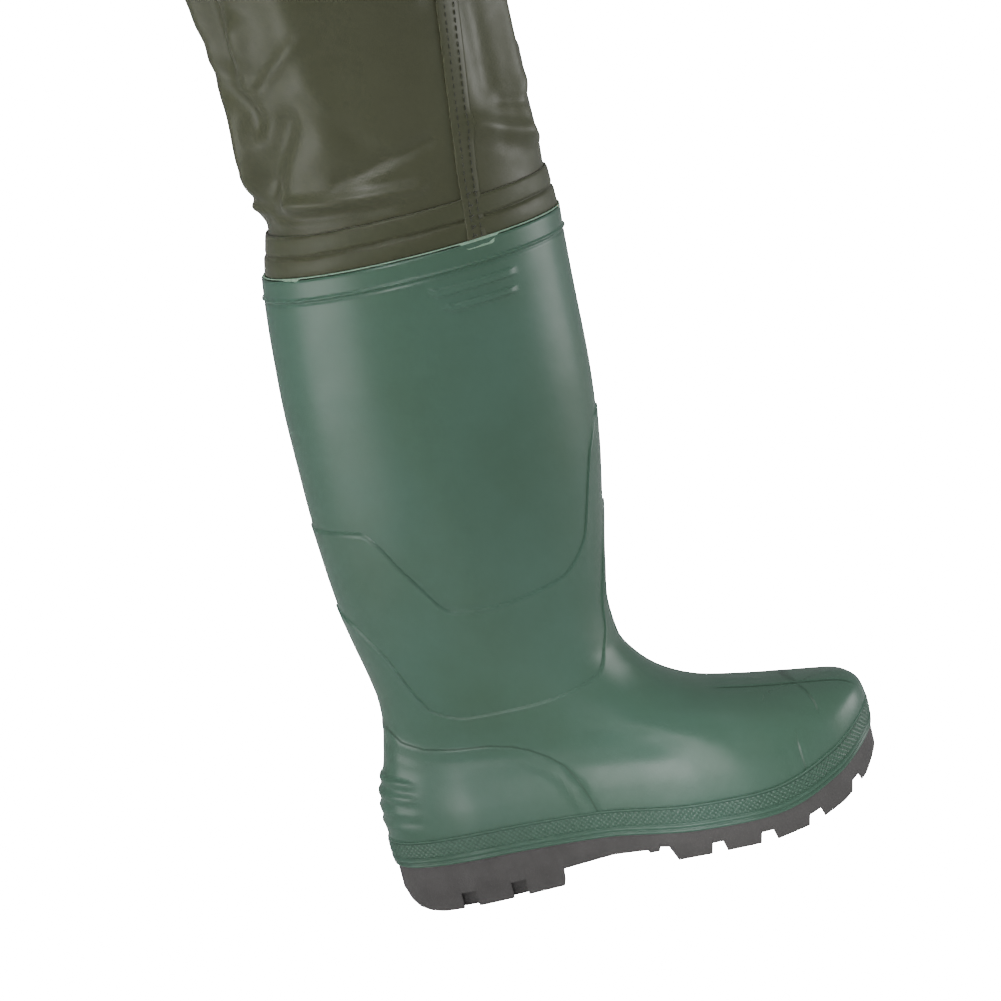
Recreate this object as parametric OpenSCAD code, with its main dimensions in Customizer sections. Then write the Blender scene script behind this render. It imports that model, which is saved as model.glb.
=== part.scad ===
// Chest waders: two moulded boots welded to coated-fabric legs and a bib, carried by two
// elastic braces with side-release buckles. Lengths are in millimetres.
// Heights are counted from the ground under the soles, and every node is then lowered by
// shoulder_h, so the origin lies between the two braces where they bear on the shoulders.
// The toes point to -Y, and the wearer's right leg is on the -X side.

/* [Stance] */
// Height of the braces' underside on the shoulders
shoulder_h = 1500; // [1480:5:1540]
// Sideways distance of each boot from the middle
boot_x = 130; // [126:1:150]
// Height of the crotch
crotch_h = 800; // [790:5:810]

/* [Boot] */
// Thickness of the moulded boot wall
boot_wall = 3; // [2:0.25:4]
// Thickness of the knitted lining
lining_t = 1.4; // [1:0.1:2]
// Height of the moulded bead around the shaft
bead_h = 391; // [385:1:394]
// Thickness of the insole
insole_t = 4; // [3:0.5:6]

/* [Fabric] */
// Thickness of the coated fabric
fabric_t = 2.4; // [1.5:0.1:3]
// Height of the bib's top edge in front
bib_front_h = 1290; // [1280:1:1292]
// Height of the bib's top edge at the back
bib_back_h = 1240; // [1230:1:1250]
// Height of the bib's top edge under the arms
bib_arm_h = 1225; // [1215:1:1235]
// Depth of the hem around the top edge
hem_deep = 22; // [18:1:26]

/* [Braces] */
// Width of the webbing
web_w = 40; // [36:1:41]
// Thickness of the webbing
web_t = 1.8; // [1.4:0.1:1.8]

/* [Pocket] */
// Turn from the middle of the bib to each side of the pocket, in degrees
pocket_turn = 16; // [12:0.5:17]
// Height of the pocket's bottom
pocket_low_h = 1120; // [1110:1:1130]
// Height of the pocket's mouth
pocket_top_h = 1225; // [1215:1:1226]
// How far the pocket stands off the bib
pocket_deep = 16; // [12:0.5:16]

/* [Hidden] */

gap = 0.3;            // air between pieces that only touch
olive = "#4b4c3b";
green = "#4f6f5d";
dark = "#4a4847";
knit = "#8d8f86";
webbing = "#3b3d2f";
black = "#26272a";

// ---------- solids built from rings of points ----------

function rev(list) = [for (i = [len(list) - 1:-1:0]) list[i]];

// Faces of a stack of rings with n points each. Each end is closed by strips that run
// between the two halves of its ring.
function stack_faces(rings, n) = concat(
  [for (r = [0:rings - 2], k = [0:n - 1], t = [0, 1])
    let (m = (k + 1) % n, p = r * n, q = p + n)
    t == 0 ? [p + k, q + k, q + m] : [p + k, q + m, p + m]],
  cap_faces(0, n, false), cap_faces((rings - 1) * n, n, true));
function cap_faces(first, n, up) = [for (k = [0:n / 2 - 1], t = [0, 1])
  let (a = k, b = k + 1, c = (n - k - 1) % n, d = (n - k) % n,
    f = t == 0 ? [first + a, first + b, first + c] : [first + a, first + c, first + d])
  if (t == 0 ? b != c : a != d) up ? rev(f) : f];
module stack(rings) {
  n = len(rings[0]);
  polyhedron(points = [for (r = rings) each r], faces = stack_faces(len(rings), n),
    convexity = 6);
}

// A tube with an open top and bottom: outer rings and inner rings, both from low to high.
function tube_faces(rings, n) = [for (r = [0:rings - 1], k = [0:n - 1], t = [0, 1])
  let (m = (k + 1) % n, p = r * n, q = ((r + 1) % rings) * n)
  t == 0 ? [p + k, q + k, q + m] : [p + k, q + m, p + m]];
module tube(outer, inner) {
  rings = concat(outer, rev(inner));
  n = len(outer[0]);
  polyhedron(points = [for (r = rings) each r], faces = tube_faces(len(rings), n),
    convexity = 8);
}

// Lowers a node from ground heights to the shoulders, and mirrors it to the other side.
module place(mirrored = false) {
  translate([0, 0, -shoulder_h])
    mirror([mirrored ? 1 : 0, 0, 0])
      children();
}

// ---------- trunk ----------

trunk_a = [[800, 222], [900, 226], [1000, 218], [1110, 222]];
trunk_b = [[800, 145], [900, 150], [1000, 145], [1110, 148]];
trunk_knots = [900, 1000, 1110];
leg_slope = 0.4;      // rise of the leg holes' edge toward the hips

// A point of the trunk: turn is 0 in front and 90 at the left hip, off is outward.
function trunk(turn, h, off) = [(lookup(h, trunk_a) + off) * sin(turn),
  -(lookup(h, trunk_b) + off) * cos(turn), h];
function smooth(t) = let (c = max(0, min(1, t))) c * c * (3 - 2 * c);
function top_edge(turn) = let (t = abs(turn) > 180 ? 360 - abs(turn) : abs(turn)) t < 90
  ? bib_front_h + (bib_arm_h - bib_front_h) * smooth((t - 37.5) / 45)
  : bib_arm_h + (bib_back_h - bib_arm_h) * smooth((t - 105) / 60);
function leg_edge(turn) = crotch_h + 4 + leg_slope * 223 * abs(sin(turn));

// A strip of the trunk. rows(turn) lists [height, inner off, outer off] from low to high.
module trunk_strip(turn0, turn1, count, rows) {
  step = (turn1 - turn0) / count;
  rings = [for (i = [0:count]) let (t = turn0 + step * i, list = rows(t)) concat(
    [for (r = list) trunk(t, r[0], r[1])], rev([for (r = list) trunk(t, r[0], r[2])]))];
  stack(rings);
}
function panel_rows(t) = [for (h = concat([leg_edge(t)], trunk_knots, [top_edge(t)]))
  [h, -fabric_t, 0]];

module bib_front() {
  color(olive) place() trunk_strip(-89.6, 89.6, 24, function (t) panel_rows(t));
}
module bib_back() {
  color(olive) place() trunk_strip(90.4, 269.6, 24, function (t) panel_rows(t));
}
// The hem is a folded binding: one closed channel that straddles the top edge.
module top_hem() {
  columns = 48;
  out = 2.1;
  back = -fabric_t - out;
  inner = -fabric_t - gap;
  function section(t) = let (h = top_edge(t), low = h - hem_deep) [trunk(t, low, back),
    trunk(t, h + 2, back), trunk(t, h + 2, out), trunk(t, low, out), trunk(t, low, gap),
    trunk(t, h + gap, gap), trunk(t, h + gap, inner), trunk(t, low, inner)];
  rings = [for (i = [0:columns - 1]) section(360 / columns * i)];
  color(webbing) place()
    polyhedron(points = [for (r = rings) each r], faces = tube_faces(columns, 8), convexity = 8);
}
module side_seam() {
  trunk_strip(86, 94, 2, function (t) [for (h = concat([leg_edge(t) + 1], trunk_knots,
    [top_edge(t) - hem_deep - 1])) [h, gap, 2.0]]);
}
module left_side_seam() {
  color(olive) place() side_seam();
}
module right_side_seam() {
  color(olive) place(true) side_seam();
}
// A saddle strip between the two leg holes, from the front of the crotch to the back.
module crotch_patch() {
  half = 11.6;
  color(olive) place()
    translate([-half, -141, crotch_h + 2])
      cube([2 * half, 282, fabric_t]);
}

// ---------- legs (built for the wearer's right side) ----------

leg_n = 24;
leg_cx = [[385, boot_x], [432, boot_x], [500, 128], [600, 124], [700, 119]];
leg_a = [[385, 63.5], [403, 63.5], [432, 66], [480, 70], [550, 78], [600, 85], [700, 103]];
leg_b = [[385, 88.2], [403, 88.2], [432, 89.2], [480, 89.5], [550, 91.5], [600, 97], [700, 114]];
corner = 56.4;        // half the angle that the inner side of a leg hole spans
side_n = 7;
function leg_angle(k) = k < side_n ? -corner + 2 * corner / side_n * k
  : corner + (360 - 2 * corner) / (leg_n - side_n) * (k - side_n);
function leg_ring(h, off) = [for (k = [0:leg_n - 1]) let (t = leg_angle(k))
  [-lookup(h, leg_cx) + (lookup(h, leg_a) + off) * cos(t),
    1.2 + (lookup(h, leg_b) + off) * sin(t), h]];

// The leg hole: the trunk's outline cut by a plane beside the middle, on a sloping edge.
hole_c = 112;
function hole_r(t, off) = let (a = 223 + off, b = 146 + off,
    p = cos(t) * cos(t) / a / a + sin(t) * sin(t) / b / b, q = -2 * hole_c * cos(t) / a / a,
    s = hole_c * hole_c / a / a - 1, round_r = (-q + sqrt(q * q - 4 * p * s)) / 2 / p,
    flat_r = cos(t) > 0.01 ? (hole_c - 12.2 + off) / cos(t) : 9999)
  min(round_r, flat_r);
function hole_ring(off) = [for (k = [0:leg_n - 1])
  let (t = leg_angle(k), r = hole_r(t, off), x = -hole_c + r * cos(t))
  [x, r * sin(t), crotch_h + 4 - gap + leg_slope * abs(x)]];
function mix(a, b, m) = [for (k = [0:len(a) - 1]) a[k] * (1 - m) + b[k] * m];

module hip_fabric() {
  low = 700 + gap;
  function rings(off) = [leg_ring(low, off), mix(leg_ring(low, off), hole_ring(off), 0.45),
    hole_ring(off)];
  tube(rings(0), rings(-fabric_t));
}
module right_hip_fabric() {
  color(olive) place() hip_fabric();
}
module left_hip_fabric() {
  color(olive) place(true) hip_fabric();
}

module leg_tube(heights) {
  tube([for (h = heights) leg_ring(h, 0)], [for (h = heights) leg_ring(h, -fabric_t)]);
}
module right_thigh_fabric() {
  color(olive) place() leg_tube([600 + gap, 650, 700]);
}
module left_thigh_fabric() {
  color(olive) place(true) leg_tube([600 + gap, 650, 700]);
}
module right_knee_fabric() {
  color(olive) place() leg_tube([432 + gap, 480, 550, 600]);
}
module left_knee_fabric() {
  color(olive) place(true) leg_tube([432 + gap, 480, 550, 600]);
}
module right_shin_fabric() {
  color(olive) place() leg_tube([385, 403, 432]);
}
module left_shin_fabric() {
  color(olive) place(true) leg_tube([385, 403, 432]);
}
// Two flat ribs pressed around the bottom of the fabric, above the boot's rim.
module cuff_band() {
  low = 404 + gap;
  list = [[0, 3.4], [10.5, 3.4], [11.5, 2.4], [12.5, 2.4], [13.5, 3.2], [24, 2.9]];
  tube([for (p = list) leg_ring(low + p[0], p[1])], [for (p = list) leg_ring(low + p[0], gap)]);
}
module right_cuff_band() {
  color(olive) place() cuff_band();
}
module left_cuff_band() {
  color(olive) place(true) cuff_band();
}

// ---------- boot (built for the wearer's right side) ----------

foot_n = 28;
lining_gap = 0.7;     // air between the moulded wall and the lining
// Each row: back and front of the ring (distance from the heel, height), half width,
// share of the footprint's outline, share of the sole line's dip.
shaft = [
  [0.5, 34, 303, 47, 52.5, 1, 1], [-1, 35, 305.5, 48, 54, 1, 1],
  [-1, 46, 306, 59, 54, 1, 1], [-1, 47, 304, 61, 52, 1, 1],
  [-2, 60, 302, 70, 51, 1, 0.8], [-1, 72, 293, 76.5, 48.5, 1, 0.55],
  [2, 83, 272, 81.5, 46, 0.9, 0.35], [6, 93, 242, 87, 44, 0.75, 0.2],
  [9, 104, 213, 94, 43.5, 0.55, 0.1], [12, 118, 190, 105.5, 45, 0.35, 0],
  [12.5, 133, 174, 121, 47.5, 0.2, 0], [10.5, 150, 165, 138, 50.5, 0.1, 0],
  [7, 170, 163.5, 158, 53.5, 0, 0], [3.5, 195, 167.5, 184, 57, 0, 0],
  [1.5, 225, 174, 218, 60.5, 0, 0], [0.6, 265, 182, 262, 63.5, 0, 0],
  [0.8, 310, 187, 310, 65.5, 0, 0], [3, 360, 189, 360, 67, 0, 0],
  [4.6, bead_h - 3.5, 190.2, bead_h - 3.5, 67.6, 0, 0],
  [3.4, bead_h - 2, 191.8, bead_h - 2, 69.4, 0, 0],
  [3.4, bead_h + 1.5, 191.8, bead_h + 1.5, 69.4, 0, 0],
  [5, bead_h + 3, 190.8, bead_h + 3, 67.8, 0, 0],
  [6, 403, 191.5, 403, 68, 0, 0]];
// Height of the sole line along the foot, above the straight line from heel to toe
sole_dip = [[0, 0], [0.2, -3.5], [0.42, -11], [0.6, -21], [0.76, -24], [0.9, -15], [1, 0]];
// Half width of the footprint along the foot, as a share of the width at the ball
print_w = [[0, 0], [0.013, 0.28], [0.05, 0.5], [0.11, 0.64], [0.19, 0.71], [0.28, 0.72],
  [0.4, 0.73], [0.52, 0.8], [0.64, 0.93], [0.74, 1], [0.82, 0.97], [0.9, 0.82], [0.955, 0.6],
  [0.99, 0.3], [1, 0]];
toe_in = [[0, 0], [0.5, 0], [0.8, 3], [1, 9]];

// A point of a row: angle 0 at the heel, 90 on the outer side; off is inward.
function boot_point(i, t, off) = let (r = shaft[i], u = shaft[max(0, i - 1)],
    v = shaft[min(len(shaft) - 1, i + 1)], a = (1 - cos(t)) / 2,
    fl = norm([v[2] - u[2], v[3] - u[3]]), bl = norm([v[0] - u[0], v[1] - u[1]]),
    fn = [-(v[3] - u[3]) / fl, (v[2] - u[2]) / fl], bn = [(v[1] - u[1]) / bl, -(v[0] - u[0]) / bl],
    fb = r[0] + off * bn[0], hb = r[1] + off * bn[1], ff = r[2] + off * fn[0], hf = r[3] + off * fn[1],
    w = r[4] - off, side = t < 180 ? -1 : 1,
    half = w * (r[5] * lookup(a, print_w) + (1 - r[5]) * abs(sin(t))),
    f = fb + (ff - fb) * a, rise = hb + (hf - hb) * a + r[6] * lookup(a, sole_dip))
  [-boot_x + side * half + r[5] * lookup(a, toe_in), 100 - f, rise];
function boot_ring(i, off) = [for (k = [0:foot_n - 1]) boot_point(i, 360 / foot_n * k, off)];

module boot_upper() {
  last = len(shaft) - 1;
  tube([for (i = [0:last]) boot_ring(i, 0)],
    [for (i = [0, for (i = [4:17]) i, last]) boot_ring(i, boot_wall)]);
}
module right_boot_upper() {
  color(green) place() boot_upper();
}
module left_boot_upper() {
  color(green) place(true) boot_upper();
}
module boot_lining() {
  out = boot_wall + lining_gap;
  tube([for (i = [4:17]) boot_ring(i, out)], [for (i = [4:17]) boot_ring(i, out + lining_t)]);
}
module right_boot_lining() {
  color(knit) place() boot_lining();
}
module left_boot_lining() {
  color(knit) place(true) boot_lining();
}

function lower(ring, d) = [for (p = ring) [p[0], p[1], p[2] + d]];
module insole() {
  stack([lower(boot_ring(0, boot_wall + 2.2), gap), lower(boot_ring(0, boot_wall + 2.2), insole_t)]);
}
module right_insole() {
  color(knit) place() insole();
}
module left_insole() {
  color(knit) place(true) insole();
}

// The sole: a plate under the foot, a heel block with side slots and bars across the ball.
tread = [[0, 0], [99, 0], [101, 10], [130, 14], [150, 11], [163, 10], [167, 0], [228, 0],
  [252, 3], [274, 9], [292, 18], [304, 30]];
bar_gaps = [[192.5, 7.4], [223.3, 8.2], [254.5, 8.4], [284, 5.4]]; // middle and width of each
module outsole() {
  rim = 1.5;
  line = [for (p = sole_dip) [p[0] * 303, 34 + 13 * p[0] + p[1] - gap]];
  outline = [for (p = boot_ring(0, rim)) [p[0], p[1]]];
  difference() {
    intersection() {
      linear_extrude(height = 80)
        polygon(outline);
      translate([-boot_x + 80, 100, 0])
        rotate([90, 0, -90])
          linear_extrude(height = 160)
            polygon(concat(tread, rev(line)));
    }
    for (f = [38, 69], side = [-1, 1])
      translate([-boot_x + side * 38 - 14, 100 - f - 4, -1])
        cube([28, 8, 9.6]);
    for (g = bar_gaps)
      translate([-boot_x - 70, 100 - g[0] - g[1] / 2, lookup(g[0], tread) - 10])
        cube([140, g[1], 16.5]);
  }
}
module right_outsole() {
  color(dark) place() outsole();
}
module left_outsole() {
  color(dark) place(true) outsole();
}

// ---------- pocket ----------

module pocket_panel() {
  color(olive) place() trunk_strip(-pocket_turn, pocket_turn, 8, function (t)
    [[pocket_low_h, pocket_deep - 2, pocket_deep], [pocket_top_h, pocket_deep - 2, pocket_deep]]);
}
module pocket_gusset() {
  out = pocket_deep - 2 - gap;
  color(olive) place() difference() {
    trunk_strip(-pocket_turn, pocket_turn, 8, function (t)
      [[pocket_low_h, gap, out], [pocket_top_h, gap, out]]);
    trunk_strip(-pocket_turn + 0.6, pocket_turn - 0.6, 8, function (t)
      [[pocket_low_h + 2.4, -3, out + 3], [pocket_top_h + 5, -3, out + 3]]);
  }
}
flap_turn = pocket_turn + 0.6;
flap_off = pocket_deep + 2.7;
module pocket_flap() {
  color(olive) place() trunk_strip(-flap_turn, flap_turn, 8, function (t)
    [[1190, flap_off, flap_off + 2], [1230, flap_off, flap_off + 2], [1248, 5, 7], [1254, 4.2, 6.2]]);
}
module flap_hinge_tape() {
  color(webbing) place() trunk_strip(-flap_turn, flap_turn, 8, function (t)
    [[1246, gap, 1.9], [1260, gap, 1.9]]);
}
module pocket_hook_tape() {
  color(black) place() trunk_strip(-6, 6, 4, function (t)
    [[1196, flap_off - 1.2, flap_off - gap], [1212, flap_off - 1.2, flap_off - gap]]);
}
module pocket_loop_tape() {
  color(black) place() trunk_strip(-6.5, 6.5, 4, function (t)
    [[1194, pocket_deep + gap, pocket_deep + 1.2], [1214, pocket_deep + gap, pocket_deep + 1.2]]);
}

// ---------- braces (built for the wearer's left side, then mirrored) ----------

chest_p = [96.6, -138.9]; // where the buckle hangs, 5.4 mm off the bib
chest_turn = 17.5;    // turn of the chest's surface there
socket_h = 1296;      // foot of the buckle's socket
// Middle line of a brace: position, share of the chest's turn, share of the crossing lift
strap = [
  [96.6, -138.9, 1388, 1, 0], [96.6, -138.9, 1442, 1, 0], [95, -134.6, 1458, 0.9, 0],
  [92.2, -123, 1474, 0.6, 0], [89, -104, 1487, 0.3, 0], [86, -78, 1496, 0.1, 0],
  [83, -46, 1500.2, 0, 0], [81, -12, 1500.9, 0, 0], [79, 20, 1500.2, 0, 0],
  [76, 52, 1494, 0, 0], [72, 80, 1483, 0, 0], [66, 105, 1465, 0, 0], [58, 125, 1441, 0, 0],
  [47, 139, 1413, 0, 0.3], [32, 147, 1385, 0, 0.8], [15, 151, 1357, 0, 1], [0, 152.4, 1332, 0, 1],
  [-15, 152.6, 1307, 0.1, 1], [-30, 151, 1281, 0.25, 0.8], [-43, 149.4, 1256, 0.4, 0.3],
  [-53, 147.8, 1230, 0.5, 0], [-61, 146.6, 1200, 0.57, 0]];
lift = web_t + 0.8;
function unit(v) = v / norm(v);
function strap_p(i, up) = let (p = strap[i]) [p[0], p[1] + up * p[4], p[2]];
function strap_ring(i, up, w, t) = let (
    d = unit(strap_p(min(len(strap) - 1, i + 1), up) - strap_p(max(0, i - 1), up)),
    flat = unit(cross(d, [0, -d[2], d[1]])), yaw = chest_turn * strap[i][3],
    side = [flat[0] * cos(yaw) - flat[1] * sin(yaw), flat[0] * sin(yaw) + flat[1] * cos(yaw),
      flat[2]],
    out = unit(cross(side, d)), c = strap_p(i, up))
  [c - side * w / 2 - out * t / 2, c + side * w / 2 - out * t / 2,
    c + side * w / 2 + out * t / 2, c - side * w / 2 + out * t / 2];
module brace(up) {
  stack([for (i = [0:len(strap) - 1]) strap_ring(i, up, web_w, web_t)]);
}
module left_brace() {
  color(webbing) place() brace(lift);
}
module right_brace() {
  color(webbing) place(true) brace(0);
}
module brace_cross_patch() {
  y = 152.4 + lift + web_t / 2 + 0.6;
  color(black) place()
    translate([0, y, 1332])
      rotate([-90, 0, 0])
        cylinder(h = 2, r = 27, $fn = 6);
}
// A patch welded over the end of each brace on the back of the bib
module back_anchor() {
  trunk_strip(156, 173, 3, function (t) [[1192, 6.1, 7.7], [1236, 6.3, 7.9]]);
}
module right_back_anchor() {
  color(olive) place() back_anchor();
}
module left_back_anchor() {
  color(olive) place(true) back_anchor();
}

// Buckle space: x along the chest, -y outward, z up from the socket's foot
module at_buckle(left) {
  color(black) place(!left)
    translate([chest_p[0], chest_p[1], socket_h])
      rotate([0, 0, chest_turn])
        children();
}
module block(x, y, z0, z1) {
  translate([-x, -y, z0])
    cube([2 * x, 2 * y, z1 - z0]);
}
// Two layers of webbing and the bend that joins them round a bar
module fold(low, high, bend_up) {
  inner = 1.3;
  outer = inner + web_t;
  difference() {
    union() {
      block(web_w / 2, outer, low, high);
      translate([-web_w / 2, 0, bend_up ? high : low])
        rotate([0, 90, 0])
          cylinder(h = web_w, r = outer, $fn = 32);
    }
    block(web_w, inner, bend_up ? low - 9 : low, bend_up ? high : high + 9);
    translate([-web_w, 0, bend_up ? high : low])
      rotate([0, 90, 0])
        cylinder(h = 2 * web_w, r = inner, $fn = 32);
  }
}
module brace_tab() {
  fold(-34, 3.4, true);
  block(web_w / 2, 1.4, -34, -20);
  translate([-web_w / 2, 1.3, -56])
    cube([web_w, web_t, 30]);
}
module right_brace_tab() {
  at_buckle(false) brace_tab();
}
module left_brace_tab() {
  at_buckle(true) brace_tab();
}
module brace_socket() {
  difference() {
    union() {
      block(27, 6, 13, 38);
      block(27, 3.4, 0, 14);
      for (side = [-1, 1])
        translate([side * 25.5, 0, 0])
          cylinder(h = 38, r = 3.4, $fn = 32);
    }
    block(21.5, 9, 3, 10);
    block(21.5, 1 + 9, -1, 0.4);
    for (side = [-1, 1])
      translate([-30, side * 3.6 - 2.6, -1])
        translate([8.5, 0, 0])
          cube([43, 5.2, 4.2]);
    block(23.5, 3.6, 15, 40);
    block(40, 3.6, 17, 31);
  }
}
module right_brace_socket() {
  at_buckle(false) brace_socket();
}
module left_brace_socket() {
  at_buckle(true) brace_socket();
}
module brace_plug() {
  difference() {
    union() {
      block(26, 5.4, 38.4, 46);
      block(26, 3.4, 45, 60);
      block(4, 2, 18, 39);
    }
    block(21.5, 9, 48, 56.5);
    for (side = [-1, 1])
      translate([-21.5, side * 3.6 - 2.6, 50])
        cube([43, 5.2, 14]);
  }
}
module right_brace_plug() {
  at_buckle(false) brace_plug();
}
module left_brace_plug() {
  at_buckle(true) brace_plug();
}
module brace_loop() {
  fold(56.6, 112, false);
}
module right_brace_loop() {
  at_buckle(false) brace_loop();
}
module left_brace_loop() {
  at_buckle(true) brace_loop();
}
// One springy arm of the plug, seen from the front: root at the top, button at the bottom
module plug_arm() {
  translate([0, 2.8, 0])
    rotate([90, 0, 0])
      linear_extrude(height = 5.6)
        polygon([[14, 37.6], [18, 37.6], [18.5, 32], [23.2, 29.5], [23.2, 20], [20, 16.5],
          [15, 16.5], [15, 30]]);
}
module right_plug_outer_arm() {
  at_buckle(false) plug_arm();
}
module left_plug_outer_arm() {
  at_buckle(true) plug_arm();
}
module right_plug_inner_arm() {
  at_buckle(false) mirror([1, 0, 0]) plug_arm();
}
module left_plug_inner_arm() {
  at_buckle(true) mirror([1, 0, 0]) plug_arm();
}
// A slider that hugs the doubled webbing above the plug
module adjuster() {
  difference() {
    block(25, 5, 80, 94);
    block(20.5, 3.5, 70, 99);
  }
}
module right_adjuster() {
  at_buckle(false) adjuster();
}
module left_adjuster() {
  at_buckle(true) adjuster();
}

bib_front();
bib_back();
top_hem();
right_side_seam();
left_side_seam();
crotch_patch();
right_hip_fabric();
left_hip_fabric();
pocket_panel();
pocket_gusset();
pocket_flap();
flap_hinge_tape();
pocket_hook_tape();
pocket_loop_tape();
right_brace();
left_brace();
brace_cross_patch();
right_back_anchor();
left_back_anchor();
right_brace_tab();
left_brace_tab();
right_brace_socket();
left_brace_socket();
right_brace_plug();
left_brace_plug();
right_brace_loop();
left_brace_loop();
right_plug_outer_arm();
right_plug_inner_arm();
left_plug_outer_arm();
left_plug_inner_arm();
right_adjuster();
left_adjuster();
right_thigh_fabric();
left_thigh_fabric();
right_knee_fabric();
left_knee_fabric();
right_shin_fabric();
left_shin_fabric();
right_cuff_band();
left_cuff_band();
right_boot_upper();
left_boot_upper();
right_outsole();
left_outsole();
right_boot_lining();
left_boot_lining();
right_insole();
left_insole();
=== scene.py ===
import math
import bmesh
import bpy
import numpy as np
from mathutils import Matrix, Vector


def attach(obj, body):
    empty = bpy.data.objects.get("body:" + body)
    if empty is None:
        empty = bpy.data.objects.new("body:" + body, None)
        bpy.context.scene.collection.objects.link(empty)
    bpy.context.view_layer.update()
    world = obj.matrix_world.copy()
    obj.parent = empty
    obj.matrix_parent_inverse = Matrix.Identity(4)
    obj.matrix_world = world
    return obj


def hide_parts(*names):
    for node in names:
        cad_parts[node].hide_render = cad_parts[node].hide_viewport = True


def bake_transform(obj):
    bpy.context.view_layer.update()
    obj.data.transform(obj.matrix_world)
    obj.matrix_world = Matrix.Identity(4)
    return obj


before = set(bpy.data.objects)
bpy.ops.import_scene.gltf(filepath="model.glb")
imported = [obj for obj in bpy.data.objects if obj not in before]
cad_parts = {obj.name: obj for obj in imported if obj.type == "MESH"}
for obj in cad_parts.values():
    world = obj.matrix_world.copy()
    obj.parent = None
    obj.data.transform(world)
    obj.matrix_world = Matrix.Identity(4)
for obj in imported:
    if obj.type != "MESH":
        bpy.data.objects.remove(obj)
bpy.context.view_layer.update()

# Chest waders with moulded boots. Sizes below are in millimetres, heights count from the
# ground, and shoulderHeight brings them down to the frame's origin between the braces.
mm = 0.001
shoulderHeight = 1500
sides = {"right": -1, "left": 1}


def linear(hexColour):
    parts = [int(hexColour[i:i + 2], 16) / 255 for i in (1, 3, 5)]
    return tuple(c / 12.92 if c <= 0.04045 else ((c + 0.055) / 1.055) ** 2.4 for c in parts) + (1,)


def newMaterial(name, colour, roughness, **sockets):
    material = bpy.data.materials.new(name)
    material.use_nodes = True
    shader = material.node_tree.nodes["Principled BSDF"]
    shader.inputs["Base Color"].default_value = linear(colour)
    shader.inputs["Roughness"].default_value = roughness
    for socket, value in sockets.items():
        shader.inputs[socket.replace("_", " ")].default_value = value
    return material


def addNode(material, kind, values=None, links=None, **settings):
    node = material.node_tree.nodes.new("ShaderNode" + kind)
    for setting, value in settings.items():
        setattr(node, setting, value)
    for socket, value in (values or {}).items():
        node.inputs[socket].default_value = value
    for socket, source in (links or {}).items():
        material.node_tree.links.new(source, node.inputs[socket])
    return node


def intoShader(material, socket, source):
    shader = material.node_tree.nodes["Principled BSDF"]
    material.node_tree.links.new(source, shader.inputs[socket])


def smoothStep(low, high, value):
    t = np.clip((value - low) / (high - low), 0, 1)
    return t * t * (3 - 2 * t)


# A smooth line through knots that never swings past them
def through(xs, ys, x):
    xs, ys = np.asarray(xs, float), np.asarray(ys, float)
    slope = np.diff(ys) / np.diff(xs)
    before, after = slope[:-1], slope[1:]
    middle = np.where(before * after > 0, 2 * before * after / (before + after + 1e-12), 0)
    tangent = np.concatenate([slope[:1], middle, slope[-1:]])
    i = np.clip(np.searchsorted(xs, x) - 1, 0, len(xs) - 2)
    width = xs[i + 1] - xs[i]
    t = np.clip((x - xs[i]) / width, 0, 1)
    return ((2 * t ** 3 - 3 * t ** 2 + 1) * ys[i] + (t ** 3 - 2 * t ** 2 + t) * width * tangent[i]
            + (3 * t ** 2 - 2 * t ** 3) * ys[i + 1] + (t ** 3 - t ** 2) * width * tangent[i + 1])


def gridNormals(points, closed):
    if closed:
        along = np.roll(points, -1, 1) - np.roll(points, 1, 1)
    else:
        along = np.gradient(points, axis=1)
    up = np.gradient(points, axis=0)
    normal = np.cross(along, up)
    return normal / (np.linalg.norm(normal, axis=2, keepdims=True) + 1e-9)


# A mesh from a grid of points in millimetres, with a UV map in metres along the surface
def gridPiece(name, points, material, closed=True, loop=False, flip=False, attributes=None):
    rows, columns = points.shape[:2]
    lastColumn = columns if closed else columns - 1
    lastRow = rows if loop else rows - 1
    r, c = np.meshgrid(np.arange(lastRow), np.arange(lastColumn), indexing="ij")
    r1, c1 = (r + 1) % rows, (c + 1) % columns
    faces = np.stack([r * columns + c, r * columns + c1, r1 * columns + c1, r1 * columns + c], -1)
    faces = faces.reshape(-1, 4)
    places = points.reshape(-1, 3) * mm - [0, 0, shoulderHeight * mm]
    around = np.linalg.norm(np.roll(points, -1, 1) - points, axis=2).mean(0)
    along = np.linalg.norm(np.roll(points, -1, 0) - points, axis=2).mean(1)
    u = np.concatenate([[0], np.cumsum(around)]) * mm
    v = np.concatenate([[0], np.cumsum(along)]) * mm
    corners = np.stack([np.stack([u[c], v[r]], -1), np.stack([u[c + 1], v[r]], -1),
                        np.stack([u[c + 1], v[r + 1]], -1), np.stack([u[c], v[r + 1]], -1)], 2)
    corners = corners.reshape(-1, 4, 2)
    if flip:
        faces, corners = faces[:, ::-1], corners[:, ::-1]
    mesh = bpy.data.meshes.new(name)
    mesh.from_pydata(places.tolist(), [], faces.tolist())
    mesh.uv_layers.new(name="surface").data.foreach_set("uv", corners.reshape(-1))
    for key, value in (attributes or {}).items():
        mesh.attributes.new(key, "FLOAT", "POINT").data.foreach_set(
            "value", np.asarray(value, np.float32).reshape(-1))
    mesh.shade_smooth()
    mesh.materials.append(material)
    piece = bpy.data.objects.new(name, mesh)
    bpy.context.collection.objects.link(piece)
    return piece


def choose(piece):
    bpy.ops.object.select_all(action="DESELECT")
    piece.select_set(True)
    bpy.context.view_layer.objects.active = piece


def applyModifier(piece, kind, **settings):
    choose(piece)
    modifier = piece.modifiers.new(kind.title(), kind)
    for key, value in settings.items():
        setattr(modifier, key, value)
    bpy.ops.object.modifier_apply(modifier=modifier.name)


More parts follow.
